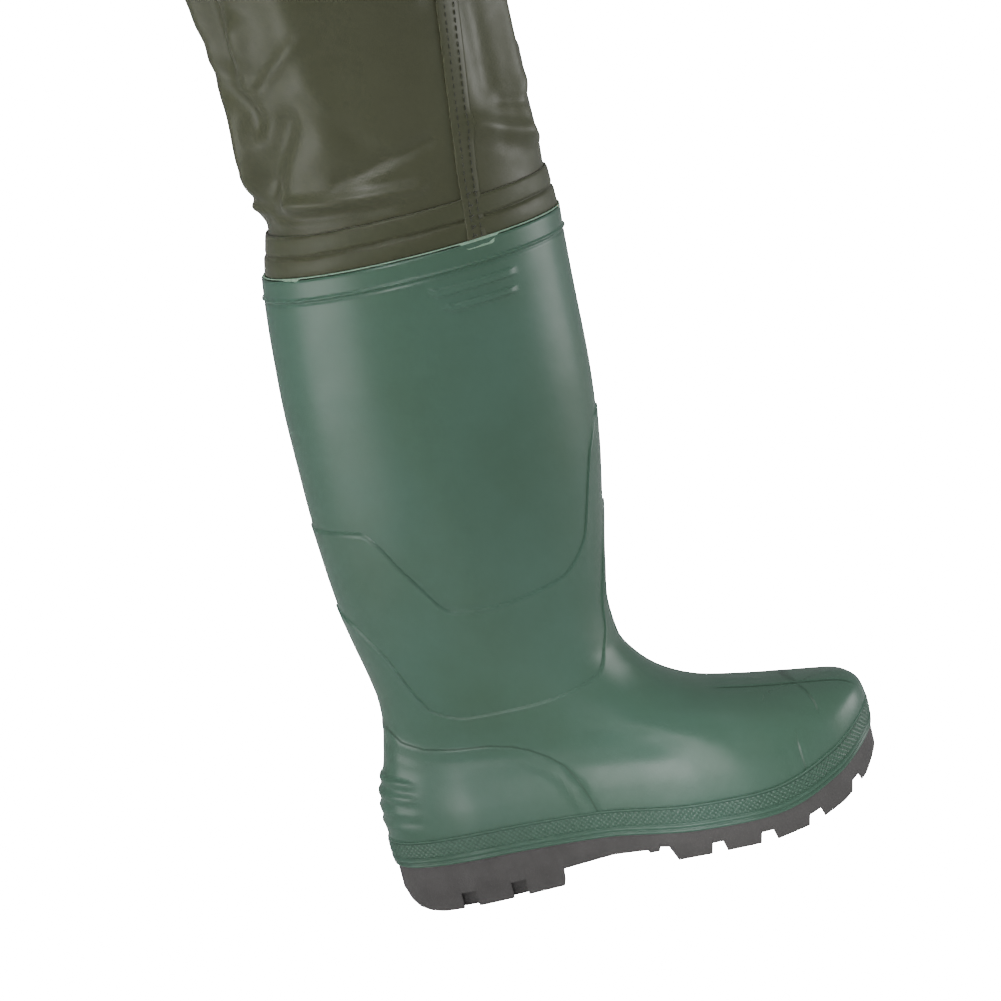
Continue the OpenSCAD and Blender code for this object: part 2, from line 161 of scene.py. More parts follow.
# A cloth piece: a grid with a thickness
def clothPiece(name, points, material, closed=False, flip=False, thick=0.7,
               attributes=None):
    piece = gridPiece(name, points, material, closed=closed, flip=flip, attributes=attributes)
    applyModifier(piece, "SOLIDIFY", thickness=thick * mm, offset=-1)
    return piece


# Soft folds: each one is a line on the flat cloth with a width and a height
def folds(u, v, lines):
    lift = np.zeros(np.broadcast(u, v).shape)
    for u0, v0, u1, v1, width, height in lines:
        du, dv = u1 - u0, v1 - v0
        length = math.hypot(du, dv)
        t = ((u - u0) * du + (v - v0) * dv) / length
        side = ((u - u0) * dv - (v - v0) * du) / length
        ends = smoothStep(-width, width, t) * smoothStep(-width, width, length - t)
        lift = lift + height * ends * np.exp(-(side / width) ** 2)
    return lift


def randomFolds(seed, count, uSpan, vSpan, length, width, height, lean=0.4):
    dice = np.random.default_rng(seed)
    lines = []
    for _ in range(count):
        u, v = dice.uniform(*uSpan), dice.uniform(*vSpan)
        angle = dice.normal(0, lean)
        half = length * dice.uniform(0.3, 0.7)
        lines.append((u - half * math.cos(angle), v - half * math.sin(angle),
                      u + half * math.cos(angle), v + half * math.sin(angle),
                      width * dice.uniform(0.6, 1.4), height * dice.uniform(-1, 1)))
    return lines


# Signed distance from points to a line of corners, positive below or behind it
def lineDistance(x, y, corners):
    best, sign = np.full(x.shape, 1e9), np.ones(x.shape)
    for (x0, y0), (x1, y1) in zip(corners[:-1], corners[1:]):
        dx, dy = x1 - x0, y1 - y0
        t = np.clip(((x - x0) * dx + (y - y0) * dy) / (dx * dx + dy * dy), 0, 1)
        distance = np.hypot(x - x0 - t * dx, y - y0 - t * dy)
        nearer = distance < best
        best = np.where(nearer, distance, best)
        sign = np.where(nearer, np.sign(dy * (x - x0) - dx * (y - y0)), sign)
    return best * sign


# Short thread stitches along lines of points; each line is (points, normals)
def stitchPiece(name, lines, length=3.1, gap=1.5, thick=0.45):
    ring = np.array([[math.cos(a), math.sin(a)] for a in np.arange(6) * math.pi / 3])
    places, faces = [], []
    for points, normals in lines:
        distance = np.concatenate([[0], np.cumsum(np.linalg.norm(np.diff(points, axis=0), axis=1))])
        for start in np.arange(gap / 2, distance[-1] - length, length + gap):
            ends = [np.array([np.interp(start + t * length, distance, points[:, k]) for k in range(3)])
                    for t in (0, 1)]
            out = np.array([np.interp(start + length / 2, distance, normals[:, k]) for k in range(3)])
            along = (ends[1] - ends[0]) / (np.linalg.norm(ends[1] - ends[0]) + 1e-9)
            side = np.cross(along, out)
            first = len(places)
            for t, size, sink in ((0, 0.5, -0.35), (0.25, 1, 0.1), (0.75, 1, 0.1), (1, 0.5, -0.35)):
                centre = ends[0] + (ends[1] - ends[0]) * t + out * sink * thick
                places.extend(centre + thick * size * (side * x + out * y) for x, y in ring)
            for row in range(3):
                for k in range(6):
                    a, b = first + row * 6 + k, first + row * 6 + (k + 1) % 6
                    faces.append((a, b, b + 6, a + 6))
            faces.append(tuple(first + k for k in range(5, -1, -1)))
            faces.append(tuple(first + 18 + k for k in range(6)))
    mesh = bpy.data.meshes.new(name)
    mesh.from_pydata((np.array(places) * mm - [0, 0, shoulderHeight * mm]).tolist(), [], faces)
    mesh.shade_smooth()
    mesh.materials.append(thread)
    piece = bpy.data.objects.new(name, mesh)
    bpy.context.collection.objects.link(piece)
    choose(piece)
    bpy.ops.object.mode_set(mode="EDIT")
    bpy.ops.mesh.select_all(action="SELECT")
    bpy.ops.mesh.normals_make_consistent(inside=False)
    bpy.ops.object.mode_set(mode="OBJECT")
    return piece


# A cloth surface that other pieces lie on: rows of points round a leg or along the trunk
class Surface:
    def __init__(self, turns, points, outward, closed):
        self.turns, self.points, self.outward, self.closed = turns, points, outward, closed

    def at(self, turn, share, out=0.0):
        rows, columns = self.points.shape[:2]
        turn, share = np.broadcast_arrays(np.asarray(turn, float), np.asarray(share, float))
        step = self.turns[1] - self.turns[0]
        c = (turn - self.turns[0]) / step
        r = np.clip(share, 0, 1) * (rows - 1)
        c = c % columns if self.closed else np.clip(c, 0, columns - 1.001)
        c0, r0 = np.floor(c).astype(int), np.minimum(np.floor(r).astype(int), rows - 2)
        cf, rf = (c - c0)[..., None], (r - r0)[..., None]
        c1 = (c0 + 1) % columns

        def mixed(grid):
            return ((grid[r0, c0] * (1 - cf) + grid[r0, c1] * cf) * (1 - rf)
                    + (grid[r0 + 1, c0] * (1 - cf) + grid[r0 + 1, c1] * cf) * rf)
        normal = mixed(self.outward)
        normal /= np.linalg.norm(normal, axis=-1, keepdims=True)
        return mixed(self.points) + normal * np.asarray(out)[..., None], normal


cameraSetup = {"target": (-0.13, -0.0145, -1.2645), "distance": 2.4, "height": 13, "roll": 14,
               "lens": 142.7, "farClip": 2.53}


def setUpCamera(setup):
    down = math.radians(setup["height"])
    target = Vector(setup["target"])
    place = target + setup["distance"] * Vector((-math.cos(down), 0, math.sin(down)))
    look = (target - place).to_track_quat("-Z", "Y").to_matrix().to_4x4()
    roll = Matrix.Rotation(math.radians(-setup["roll"]), 4, "Z")
    data = bpy.data.cameras.new("camera")
    data.lens, data.clip_end = setup["lens"], setup["farClip"]
    camera = bpy.data.objects.new("camera", data)
    camera.matrix_world = Matrix.Translation(place) @ look @ roll
    bpy.context.collection.objects.link(camera)
    bpy.context.scene.camera = camera


# Where each soft light stands, how large and how strong it is, where it points, and its spread
lightSetup = {
    "backSoftbox": ((-0.8, 1.25, -1.2), (1.1, 0.5), 5.5, (-0.13, 0.05, -1.25), 180),
    "frontSoftbox": ((-0.1, -1.6, -1.35), (0.9, 0.9), 11, (-0.13, -0.05, -1.15), 180),
    "lowSoftbox": ((-0.78, 0.1, -1.425), (0.3, 0.12), 0.1, (-0.17, -0.17, -1.44), 34),
    "highSoftbox": ((-1.7, 0.4, -0.2), (0.5, 0.5), 0.27, (-0.18, 0.02, -1.03), 24),
    "topSoftbox": ((-0.6, 0.2, 1.6), (1.8, 1.8), 20, (0, 0, -0.8), 180),
}


def setUpLights(setup):
    for name, (place, size, power, aim, spread) in setup.items():
        data = bpy.data.lights.new(name, "AREA")
        data.shape, data.size, data.size_y, data.energy = "RECTANGLE", size[0], size[1], power
        data.spread = math.radians(spread)
        light = bpy.data.objects.new(name, data)
        turn = (Vector(aim) - Vector(place)).to_track_quat("-Z", "Y").to_matrix().to_4x4()
        light.matrix_world = Matrix.Translation(Vector(place)) @ turn
        bpy.context.collection.objects.link(light)


def setUpRoom():
    world = bpy.data.worlds.new("room")
    bpy.context.scene.world = world
    world.use_nodes = True
    nodes, links = world.node_tree.nodes, world.node_tree.links
    soft = nodes["Background"]
    soft.inputs["Color"].default_value = (0.95, 0.97, 1, 1)
    soft.inputs["Strength"].default_value = 0.3
    white = nodes.new("ShaderNodeBackground")
    white.inputs["Strength"].default_value = 30
    seen, mix = nodes.new("ShaderNodeLightPath"), nodes.new("ShaderNodeMixShader")
    links.new(seen.outputs["Is Camera Ray"], mix.inputs[0])
    links.new(soft.outputs[0], mix.inputs[1])
    links.new(white.outputs[0], mix.inputs[2])
    links.new(mix.outputs[0], nodes["World Output"].inputs[0])

    bpy.ops.object.select_all(action="DESELECT")
    bpy.ops.mesh.primitive_plane_add(size=14, location=(0, 0, -shoulderHeight * mm - 0.0005))
    floor = bpy.context.object
    floor.name = "floor"
    paper = newMaterial("white paper sweep", "#f4f4f4", 0.9)
    floor.data.materials.append(paper)
    shader = paper.node_tree.nodes["Principled BSDF"]
    lit = addNode(paper, "Emission", {"Strength": 30.0})
    seenFloor = addNode(paper, "LightPath")
    blend = addNode(paper, "MixShader", links={0: seenFloor.outputs["Is Camera Ray"],
                                               1: shader.outputs[0], 2: lit.outputs[0]})
    paper.node_tree.links.new(blend.outputs[0],
                              paper.node_tree.nodes["Material Output"].inputs[0])


setUpCamera(cameraSetup)
setUpLights(lightSetup)
setUpRoom()
print("camera, lights and floor are set")


# Injection-moulded PVC, satin, with the faint ripple of a polished mould. The edge
# attributes carry the moulded panel lines, in millimetres from each line: each line is raised in the bump,
# and its colour is darkened towards #26402f as painted shade.
def mouldedPvc():
    material = newMaterial("moulded green PVC", "#4c6b5b", 0.36, Coat_Weight=0.25,
                           Coat_Roughness=0.28, IOR=1.53)
    where = addNode(material, "TexCoord").outputs["Object"]
    cloudy = addNode(material, "TexNoise", {"Scale": 16.0, "Detail": 3.0}, {"Vector": where})
    tone = addNode(material, "Mix", {6: linear("#466750"), 7: linear("#54796a")},
                   {0: cloudy.outputs[0]}, data_type="RGBA")
    edge = addNode(material, "Attribute", attribute_name="edgeMm")
    fade = addNode(material, "Attribute", attribute_name="edgeFade")
    # painted shade: the colour darkens along the panel lines, creases and knurl grooves, at most half way to
    # #26402f
    near = addNode(material, "MapRange", {1: 0.0, 2: 0.9, 3: 1.0, 4: 0.0},
                   {0: addNode(material, "Math", links={0: edge.outputs["Fac"]},
                               operation="ABSOLUTE").outputs[0]})
    line = addNode(material, "Math", links={0: near.outputs[0], 1: fade.outputs["Fac"]},
                   operation="MULTIPLY")
    soft = addNode(material, "Math", {1: 0.5}, {0: line.outputs[0]}, operation="MULTIPLY")
    colour = addNode(material, "Mix", {7: linear("#26402f")},
                     {0: soft.outputs[0], 6: tone.outputs[2]}, data_type="RGBA")
    intoShader(material, "Base Color", colour.outputs[2])
    ripple = addNode(material, "TexNoise", {"Scale": 45.0, "Detail": 2.0}, {"Vector": where})
    skin = addNode(material, "TexNoise", {"Scale": 900.0, "Detail": 1.0}, {"Vector": where})
    wear = addNode(material, "MapRange", {1: 0.3, 2: 0.75, 3: 0.31, 4: 0.42},
                   {0: ripple.outputs[0]})
    intoShader(material, "Roughness", wear.outputs[0])
    step = addNode(material, "MapRange", {1: -0.6, 2: 0.6, 3: 0.0, 4: 1.0},
                   {0: edge.outputs["Fac"]})
    faded = addNode(material, "Math", links={0: step.outputs[0], 1: fade.outputs["Fac"]},
                    operation="MULTIPLY")
    fine = addNode(material, "Bump", {"Strength": 0.05, "Distance": 0.0006},
                   {"Height": skin.outputs[0]})
    wavy = addNode(material, "Bump", {"Strength": 0.16, "Distance": 0.002},
                   {"Height": ripple.outputs[0], "Normal": fine.outputs[0]})
    ridge = addNode(material, "Bump", {"Strength": 0.9, "Distance": 0.0007},
                    {"Height": faded.outputs[0], "Normal": wavy.outputs[0]})
    intoShader(material, "Normal", ridge.outputs[0])
    return material


# Expanded PVC sole, matte brown-grey with cast pits and scuffs
def soleRubber():
    material = newMaterial("cast sole PVC", "#4a4847", 0.62, IOR=1.5)
    where = addNode(material, "TexCoord").outputs["Object"]
    cloudy = addNode(material, "TexNoise", {"Scale": 60.0, "Detail": 4.0}, {"Vector": where})
    tone = addNode(material, "Mix", {6: linear("#514f4e"), 7: linear("#6a6766")},
                   {0: cloudy.outputs[0]}, data_type="RGBA")
    intoShader(material, "Base Color", tone.outputs[2])
    pits = addNode(material, "TexNoise", {"Scale": 1100.0, "Detail": 2.0}, {"Vector": where})
    bump = addNode(material, "Bump", {"Strength": 0.25, "Distance": 0.0006},
                   {"Height": pits.outputs[0]})
    intoShader(material, "Normal", bump.outputs[0])
    return material


# Plain-woven nylon with a vinyl coating: a satin skin, the weave barely shows through.
# The threads are drawn 0.9 mm apart, coarser than the real ones, so that they show.
def coatedCloth(name="coated nylon cloth", dark="#44462f", light="#565a41", roughness=0.42):
    material = newMaterial(name, dark, roughness, Coat_Weight=0.07, Coat_Roughness=0.3,
                           Sheen_Weight=0.12, Sheen_Roughness=0.5)
    where = addNode(material, "TexCoord")
    cloudy = addNode(material, "TexNoise", {"Scale": 9.0, "Detail": 5.0, "Roughness": 0.6},
                     {"Vector": where.outputs["Object"]})
    tone = addNode(material, "Mix", {6: linear(dark), 7: linear(light)},
                   {0: cloudy.outputs[0]}, data_type="RGBA")
    intoShader(material, "Base Color", tone.outputs[2])
    flat = addNode(material, "UVMap", uv_map="surface")
    warp = addNode(material, "TexWave", {"Scale": 350.0, "Distortion": 0.4},
                   {"Vector": flat.outputs[0]}, bands_direction="X")
    weft = addNode(material, "TexWave", {"Scale": 350.0, "Distortion": 0.4},
                   {"Vector": flat.outputs[0]}, bands_direction="Y")
    weave = addNode(material, "Math", links={0: warp.outputs["Fac"], 1: weft.outputs["Fac"]},
                    operation="MULTIPLY")
    rumple = addNode(material, "TexNoise", {"Scale": 70.0, "Detail": 4.0},
                     {"Vector": where.outputs["Object"]})
    shine = addNode(material, "MapRange", {1: 0.3, 2: 0.7, 3: roughness - 0.07, 4: roughness + 0.09},
                    {0: rumple.outputs[0]})
    intoShader(material, "Roughness", shine.outputs[0])
    small = addNode(material, "Bump", {"Strength": 0.12, "Distance": 0.0003},
                    {"Height": weave.outputs[0]})
    crease = addNode(material, "Bump", {"Strength": 0.22, "Distance": 0.0016},
                     {"Height": rumple.outputs[0], "Normal": small.outputs[0]})
    intoShader(material, "Normal", crease.outputs[0])
    return material


# Spun polyester thread, slightly fuzzy
def sewingThread():
    material = newMaterial("polyester thread", "#34372a", 0.7, Sheen_Weight=0.3)
    where = addNode(material, "TexCoord").outputs["Object"]
    twist = addNode(material, "TexWave", {"Scale": 900.0, "Distortion": 2.0}, {"Vector": where},
                    bands_direction="DIAGONAL")
    tone = addNode(material, "Mix", {6: linear("#2b2e22"), 7: linear("#4a4e3b")},
                   {0: twist.outputs["Fac"]}, data_type="RGBA")
    intoShader(material, "Base Color", tone.outputs[2])
    return material


# Dried contact adhesive: pale, waxy, uneven
def driedAdhesive():
    material = newMaterial("dried adhesive", "#9fc4a6", 0.45, Subsurface_Weight=0.1)
    where = addNode(material, "TexCoord").outputs["Object"]
    lumps = addNode(material, "TexNoise", {"Scale": 500.0, "Detail": 3.0}, {"Vector": where})
    tone = addNode(material, "Mix", {6: linear("#7faa8c"), 7: linear("#b7d6b9")},
                   {0: lumps.outputs[0]}, data_type="RGBA")
    intoShader(material, "Base Color", tone.outputs[2])
    bump = addNode(material, "Bump", {"Strength": 0.5, "Distance": 0.0008},
                   {"Height": lumps.outputs[0]})
    intoShader(material, "Normal", bump.outputs[0])
    return material


bootPvc, solePvc = mouldedPvc(), soleRubber()
cloth, thread, adhesive = coatedCloth(), sewingThread(), driedAdhesive()
cuffCloth = coatedCloth("welded nylon tape", "#41452d", "#54583d", 0.48)
print("materials are made")


# Rows from the welt up: back and front of the ring (distance from the heel, height), half
# width, share of the footprint's outline, share of the sole line's dip
bootRows = np.array([
    [-1.8, 42, 303, 56, 51, 1, 1], [-2, 47, 304, 61, 52, 1, 1], [-2, 60, 302, 70, 51, 1, 0.8],
    [-1, 72, 293, 76.5, 48.5, 1, 0.55], [2, 83, 272, 81.5, 46, 0.9, 0.35],
    [6, 93, 242, 87, 44, 0.75, 0.2], [9, 104, 213, 94, 43.5, 0.55, 0.1],
    [12, 118, 190, 105.5, 45, 0.35, 0], [12.5, 133, 174, 121, 47.5, 0.2, 0],
    [10.5, 150, 165, 138, 50.5, 0.1, 0], [7, 170, 163.5, 158, 53.5, 0, 0],
    [3.5, 195, 167.5, 184, 57, 0, 0], [1.5, 225, 174, 218, 60.5, 0, 0],
    [0.6, 265, 182, 262, 63.5, 0, 0], [0.8, 310, 187, 310, 65.5, 0, 0],
    [3.6, 360, 189, 360, 67, 0, 0], [6.4, 388, 190.4, 388, 67.8, 0, 0], [8.4, 403, 191.5, 403, 68, 0, 0]])
weltRow = [-1.5, 34, 303, 47, 52.5, 1, 1]
footprint = np.array([[0, 0], [0.013, 0.28], [0.05, 0.5], [0.11, 0.64], [0.19, 0.71],
                      [0.28, 0.72], [0.4, 0.73], [0.52, 0.8], [0.64, 0.93], [0.74, 1],
                      [0.82, 0.97], [0.9, 0.82], [0.955, 0.6], [0.99, 0.3], [1, 0]])
soleDip = [[0, 0.2, 0.42, 0.6, 0.76, 0.9, 1], [0, -3.5, -11, -21, -24, -15, 0]]
toeIn = [[0, 0.5, 0.8, 1], [0, 0, 3, 9]]
printTurn = np.degrees(np.arccos(1 - 2 * footprint[:, 0]))
printKnots = np.concatenate([-printTurn[:0:-1], printTurn, 360 - printTurn[-2::-1]])
printWidths = np.concatenate([-footprint[:0:-1, 1], footprint[:, 1], -footprint[-2::-1, 1]])

rowPlace = np.concatenate([[0], np.cumsum(np.hypot(*np.diff(bootRows[:, [2, 3]], axis=0).T)
                                          + np.hypot(*np.diff(bootRows[:, [0, 1]], axis=0).T))])
rowPlace = rowPlace / rowPlace[-1]


# A point of a row: turn is 0 at the heel and 90 on the outer side, in degrees
def ringPoint(row, turn):
    share = (1 - np.cos(np.radians(turn))) / 2
    back, backH, front, frontH, width, printShare, dipShare = row
    outline = printShare * through(printKnots, printWidths, turn) \
        + (1 - printShare) * np.sin(np.radians(turn))
    x = -130 - width * outline + printShare * through(toeIn[0], toeIn[1], share)
    height = backH + (frontH - backH) * share + dipShare * through(soleDip[0], soleDip[1], share)
    return np.stack(np.broadcast_arrays(x, 100 - back - (front - back) * share, height), -1)


def bootPoint(place, turn):
    return ringPoint([through(rowPlace, bootRows[:, k], place) for k in range(7)], turn)


# Heights of the two layer edges round the shaft, and the other panel lines seen from the side
boot = {
    "columns": 320, "wall": 3, "layerStep": 1.0,
    "upperLayer": [[0, 46, 65, 79, 96, 129, 146, 155, 168, 180],
                   [250, 248, 216, 191, 187, 191.5, 209, 258, 277, 280]],
    "lowerLayer": [[0, 18, 37, 52, 68, 90, 129, 156, 168, 180],
                   [198, 191, 171, 128, 119.5, 119, 125, 149, 194, 222]],
    "heelCounter": [(-10, 150), (8, 133), (13, 119), (21, 109), (33, 103.5), (52, 100), (71, 98),
                    (85, 94), (95, 89), (105, 82), (113, 74.5), (119, 64), (124, 50), (127, 38)],
    "toeCap": [(250, 88), (255, 85), (262, 82.3), (267.4, 78), (270, 72.5), (271, 64)],
    "bead": (391, 1.3), "kickRibs": (86.5, 77, 67.5, 58), "ribsFrom": 362,
    "sideRibs": [(104, 156, 379.5, 2.3), (110, 154, 369, 1.9)],
}


def shaftTurns(line):
    knots, heights = np.array(line[0], float), np.array(line[1], float)
    return np.concatenate([knots, 360 - knots[-2::-1]]), np.concatenate([heights, heights[-2::-1]])


def buildBootGrid(spec):
    turns = np.arange(spec["columns"]) * 360 / spec["columns"]
    fine = np.linspace(0, 1, 900)
    heights = bootPoint(fine[:, None], turns[None, :])[..., 2]

    def placeAt(height):
        return np.array([np.interp(height[k], heights[:, k], fine) for k in range(len(turns))])
    low = placeAt(through(*shaftTurns(spec["lowerLayer"]), turns))
    high = placeAt(through(*shaftTurns(spec["upperLayer"]), turns))
    beadH, beadHalf = spec["bead"]
    marks = [np.zeros_like(turns), low, high, placeAt(np.full_like(turns, spec["ribsFrom"])),
             placeAt(np.full_like(turns, beadH - beadHalf)),
             placeAt(np.full_like(turns, beadH + beadHalf)), np.ones_like(turns)]
    rows = [marks[0]]
    for start, stop, count in zip(marks[:-1], marks[1:], (66, 26, 30, 46, 9, 9)):
        tiny = 0.0012
        ease = np.linspace(0, 1, count)[1:-1]
        rows.append(start + tiny)
        rows.extend(start + tiny + (stop - start - 2 * tiny) * t for t in ease)
        rows.extend([stop - tiny, stop] if stop is not marks[-1] else [stop])
    place = np.array(rows)
    points = bootPoint(place, turns[None, :])
    lift = np.zeros(place.shape)
    down = np.concatenate([[np.zeros_like(turns)],
                           np.cumsum(np.linalg.norm(np.diff(points, axis=0), axis=2), 0)])
    for mark in (low, high):
        at = np.array([np.interp(mark[k], place[:, k], down[:, k]) for k in range(len(turns))])
        below = at - down
        lift += spec["layerStep"] * smoothStep(0, 0.45, below) * np.exp(-np.clip(below, 0, 999) / 26)
    f, h = 100 - points[..., 1], points[..., 2]
    counter = lineDistance(f, h, spec["heelCounter"])
    lift += 0.8 * smoothStep(-0.6, 1.4, counter) * np.exp(-np.clip(counter, 0, 99) / 22)
    lift += 1.1 * smoothStep(beadHalf, 0.2, np.abs(h - beadH))
    lift -= 0.5 * np.exp(-((h - beadH + 1.9) / 0.9) ** 2)
    side = np.sin(np.radians(turns))[None, :] > 0
    for rib in spec["kickRibs"]:
        reach = smoothStep(25, 15, f)
        inRib = np.clip((h - rib + 0.22 * np.clip(f, 0, 30)) / 6.4, -0.5, 0.5)
        lift += 1.3 * reach * np.cos(inRib * math.pi) ** 0.8
    for start, stop, ribH, half in spec["sideRibs"]:
        inside = smoothStep(start - 1, start + 3, f) * smoothStep(stop + 1, stop - 5, f) * side
        hook = 2.2 * smoothStep(start + 5, start, f)
        lift += 1.3 * inside * smoothStep(half + 0.5, half - 0.5, np.abs(h - ribH - hook))
    cap = lineDistance(f, h, spec["toeCap"])
    centre = np.abs(points[..., 0] + 130 - through(toeIn[0], toeIn[1], f / 304))
    onVamp = smoothStep(206, 222, f) * smoothStep(62, 72, h) * smoothStep(302, 292, f)
    strip = 14 - centre
    lift += 0.9 * onVamp * smoothStep(-0.8, 1.2, strip)
    crease = lineDistance(f, h, [(254.3, 64), (253.6, 56), (254.2, 46), (255.6, 30)])
    creaseFade = smoothStep(66, 52, h) * side
    lift -= 0.9 * creaseFade * np.exp(-(crease / 1.3) ** 2)
    # the nearest panel line and how strongly it shows there, both as a ridge in the bump and as painted shade
    # in the colour
    edges = [(counter, np.ones_like(f)), (cap, smoothStep(64, 72, h) * (f > 240)),
             (strip, 0.8 * onVamp * (h > 64)), (crease, creaseFade * 0.8)]
    edgeMm, edgeFade = np.full(f.shape, 99.0), np.zeros(f.shape)
    for distance, fade in edges:
        nearer = (np.abs(distance) < np.abs(edgeMm)) & (fade > 0.02)
        edgeMm, edgeFade = np.where(nearer, distance, edgeMm), np.where(nearer, fade, edgeFade)
    edgeFade = edgeFade * smoothStep(14, 7, np.abs(edgeMm))
    return points, lift, edgeMm, edgeFade


def buildBoots(spec):
    points, lift, edgeMm, edgeFade = buildBootGrid(spec)
    outward = gridNormals(points, True)
    if (outward[80, :, 0] * (points[80, :, 0] + 130)).sum() < 0:
        outward = -outward
    outer = points + outward * lift[..., None]
    inner = (points - outward * spec["wall"])[::-4]
    inner[0] = points[-1] - outward[-1] * spec["wall"]
    wall = np.concatenate([outer, inner])
    padding = np.full((len(inner), len(edgeMm[0])), 99.0)
    for name, sign in sides.items():
        mirror = np.array([-sign, 1, 1])
        piece = gridPiece(f"{name}BootUpper", wall * mirror, bootPvc, loop=True, flip=sign < 0,
                          attributes={"edgeMm": np.concatenate([edgeMm, padding]),
                                      "edgeFade": np.concatenate([edgeFade, padding * 0])})
        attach(piece, f"{name}_lower_leg")
        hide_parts(f"{name}_boot_upper")
        lining = (points - outward * (spec["wall"] + 0.3))[6:-16:4, ::4]
        knitWall = np.concatenate([lining, (lining - outward[6:-16:4, ::4] * 1.4)[::-1]])
        lined = gridPiece(f"{name}BootLining", knitWall * mirror, knit, loop=True, flip=sign < 0)
        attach(lined, f"{name}_lower_leg")
        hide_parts(f"{name}_boot_lining")


# Brushed knit lining, grey, with wales 1.5 mm apart
def knitLining():
    material = newMaterial("brushed knit", "#8d8f86", 0.9, Sheen_Weight=0.5)
    flat = addNode(material, "UVMap", uv_map="surface")
    wales = addNode(material, "TexWave", {"Scale": 210.0, "Distortion": 1.5},
                    {"Vector": flat.outputs[0]})
    tone = addNode(material, "Mix", {6: linear("#75776f"), 7: linear("#9c9e95")},
                   {0: wales.outputs["Fac"]}, data_type="RGBA")
    intoShader(material, "Base Color", tone.outputs[2])
    bump = addNode(material, "Bump", {"Strength": 0.5, "Distance": 0.0008},
                   {"Height": wales.outputs["Fac"]})
    intoShader(material, "Normal", bump.outputs[0])
    return material


knit = knitLining()
buildBoots(boot)
print("boot uppers are moulded")

welt = {
    "pitch": 3.2, "knurl": 1.0, "columns": 1200,
    # height above the sole line, and how far the wall stands out
    "section": [(-4.4, -2.5), (-3.6, -0.2), (-3.2, 0.9), (-1.9, 1.2), (-1.3, 0.1), (-0.4, 0.1),
                (0, 1.5), (1.5, 1.6), (2, 0.4), (2.6, 0.4), (3, 0.9)],
    "top": [(12.3, 0.9), (12.7, 1.4), (13.2, 1.3), (13.5, 0.2), (13.4, -2.5)],
}


def weltPoint(turn, up, out):
    width = weltRow[4] + out
    return ringPoint([weltRow[0] - out, weltRow[1] + up, weltRow[2] + out, weltRow[3] + up, width, 1, 1],
                     turn)


def buildWelts(spec):
    dense = np.linspace(0, 360, 4001)
    ring = weltPoint(dense, 0, 0)
    length = np.concatenate([[0], np.cumsum(np.linalg.norm(np.diff(ring, axis=0), axis=1))])
    cells = round(length[-1] / spec["pitch"])
    around = np.arange(spec["columns"]) / spec["columns"]
    turns = np.interp(around * length[-1], length, dense)
    rows = list(spec["section"])
    knurlRows = [(up, 0.9) for up in np.arange(3.2, 12.2, 0.5)]
    rows = rows + knurlRows + spec["top"]
    points, grooves = [], []
    for up, out in rows:
        lift = 0
        mark = np.full(len(turns), 99.0)
        if 3.1 < up < 12.2:
            u, v = around * cells, (up - 3) / spec["pitch"]
            a = np.abs((u + v) % 1 - 0.5)
            b = np.abs((u - v) % 1 - 0.5)
            bump = (1 - 2 * np.maximum(a, b)) ** 0.7
            # mark becomes edgeMm: small in the grooves between the diamonds, where the colour gets painted
            # shade
            lift, mark = spec["knurl"] * bump, 1.7 * bump
        points.append(weltPoint(turns, up, out + lift))
        grooves.append(mark)
    points, grooves = np.array(points), np.array(grooves)
    for name, sign in sides.items():
        piece = gridPiece(f"{name}Welt", points * [-sign, 1, 1], bootPvc, loop=True, flip=sign < 0,
                          attributes={"edgeMm": grooves, "edgeFade": (grooves < 90) * 0.8})
        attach(piece, f"{name}_lower_leg")


buildWelts(welt)
print("welts are knurled")

outsole = {
    # tread's underside along the foot, and the gaps between the bars (middle, width, depth)
    "tread": [[0, 3, 7, 13, 21, 96, 97.5, 98, 130, 150, 151, 157, 158, 163, 167, 228, 252, 274, 292, 304],
              [14, 7.5, 3.6, 1.2, 0, 0, 4, 10.5, 11.8, 10, 8, 8, 10.5, 9.5, 0, 0, 3, 9, 18, 30]],
    "gaps": [(192.5, 7.4, 6.5), (223.3, 8.2, 6.5), (254.5, 8.4, 6.2), (284, 5.4, 5.5)],
    "heelSlots": (38, 69), "slotSize": (9, 10, 5),
}


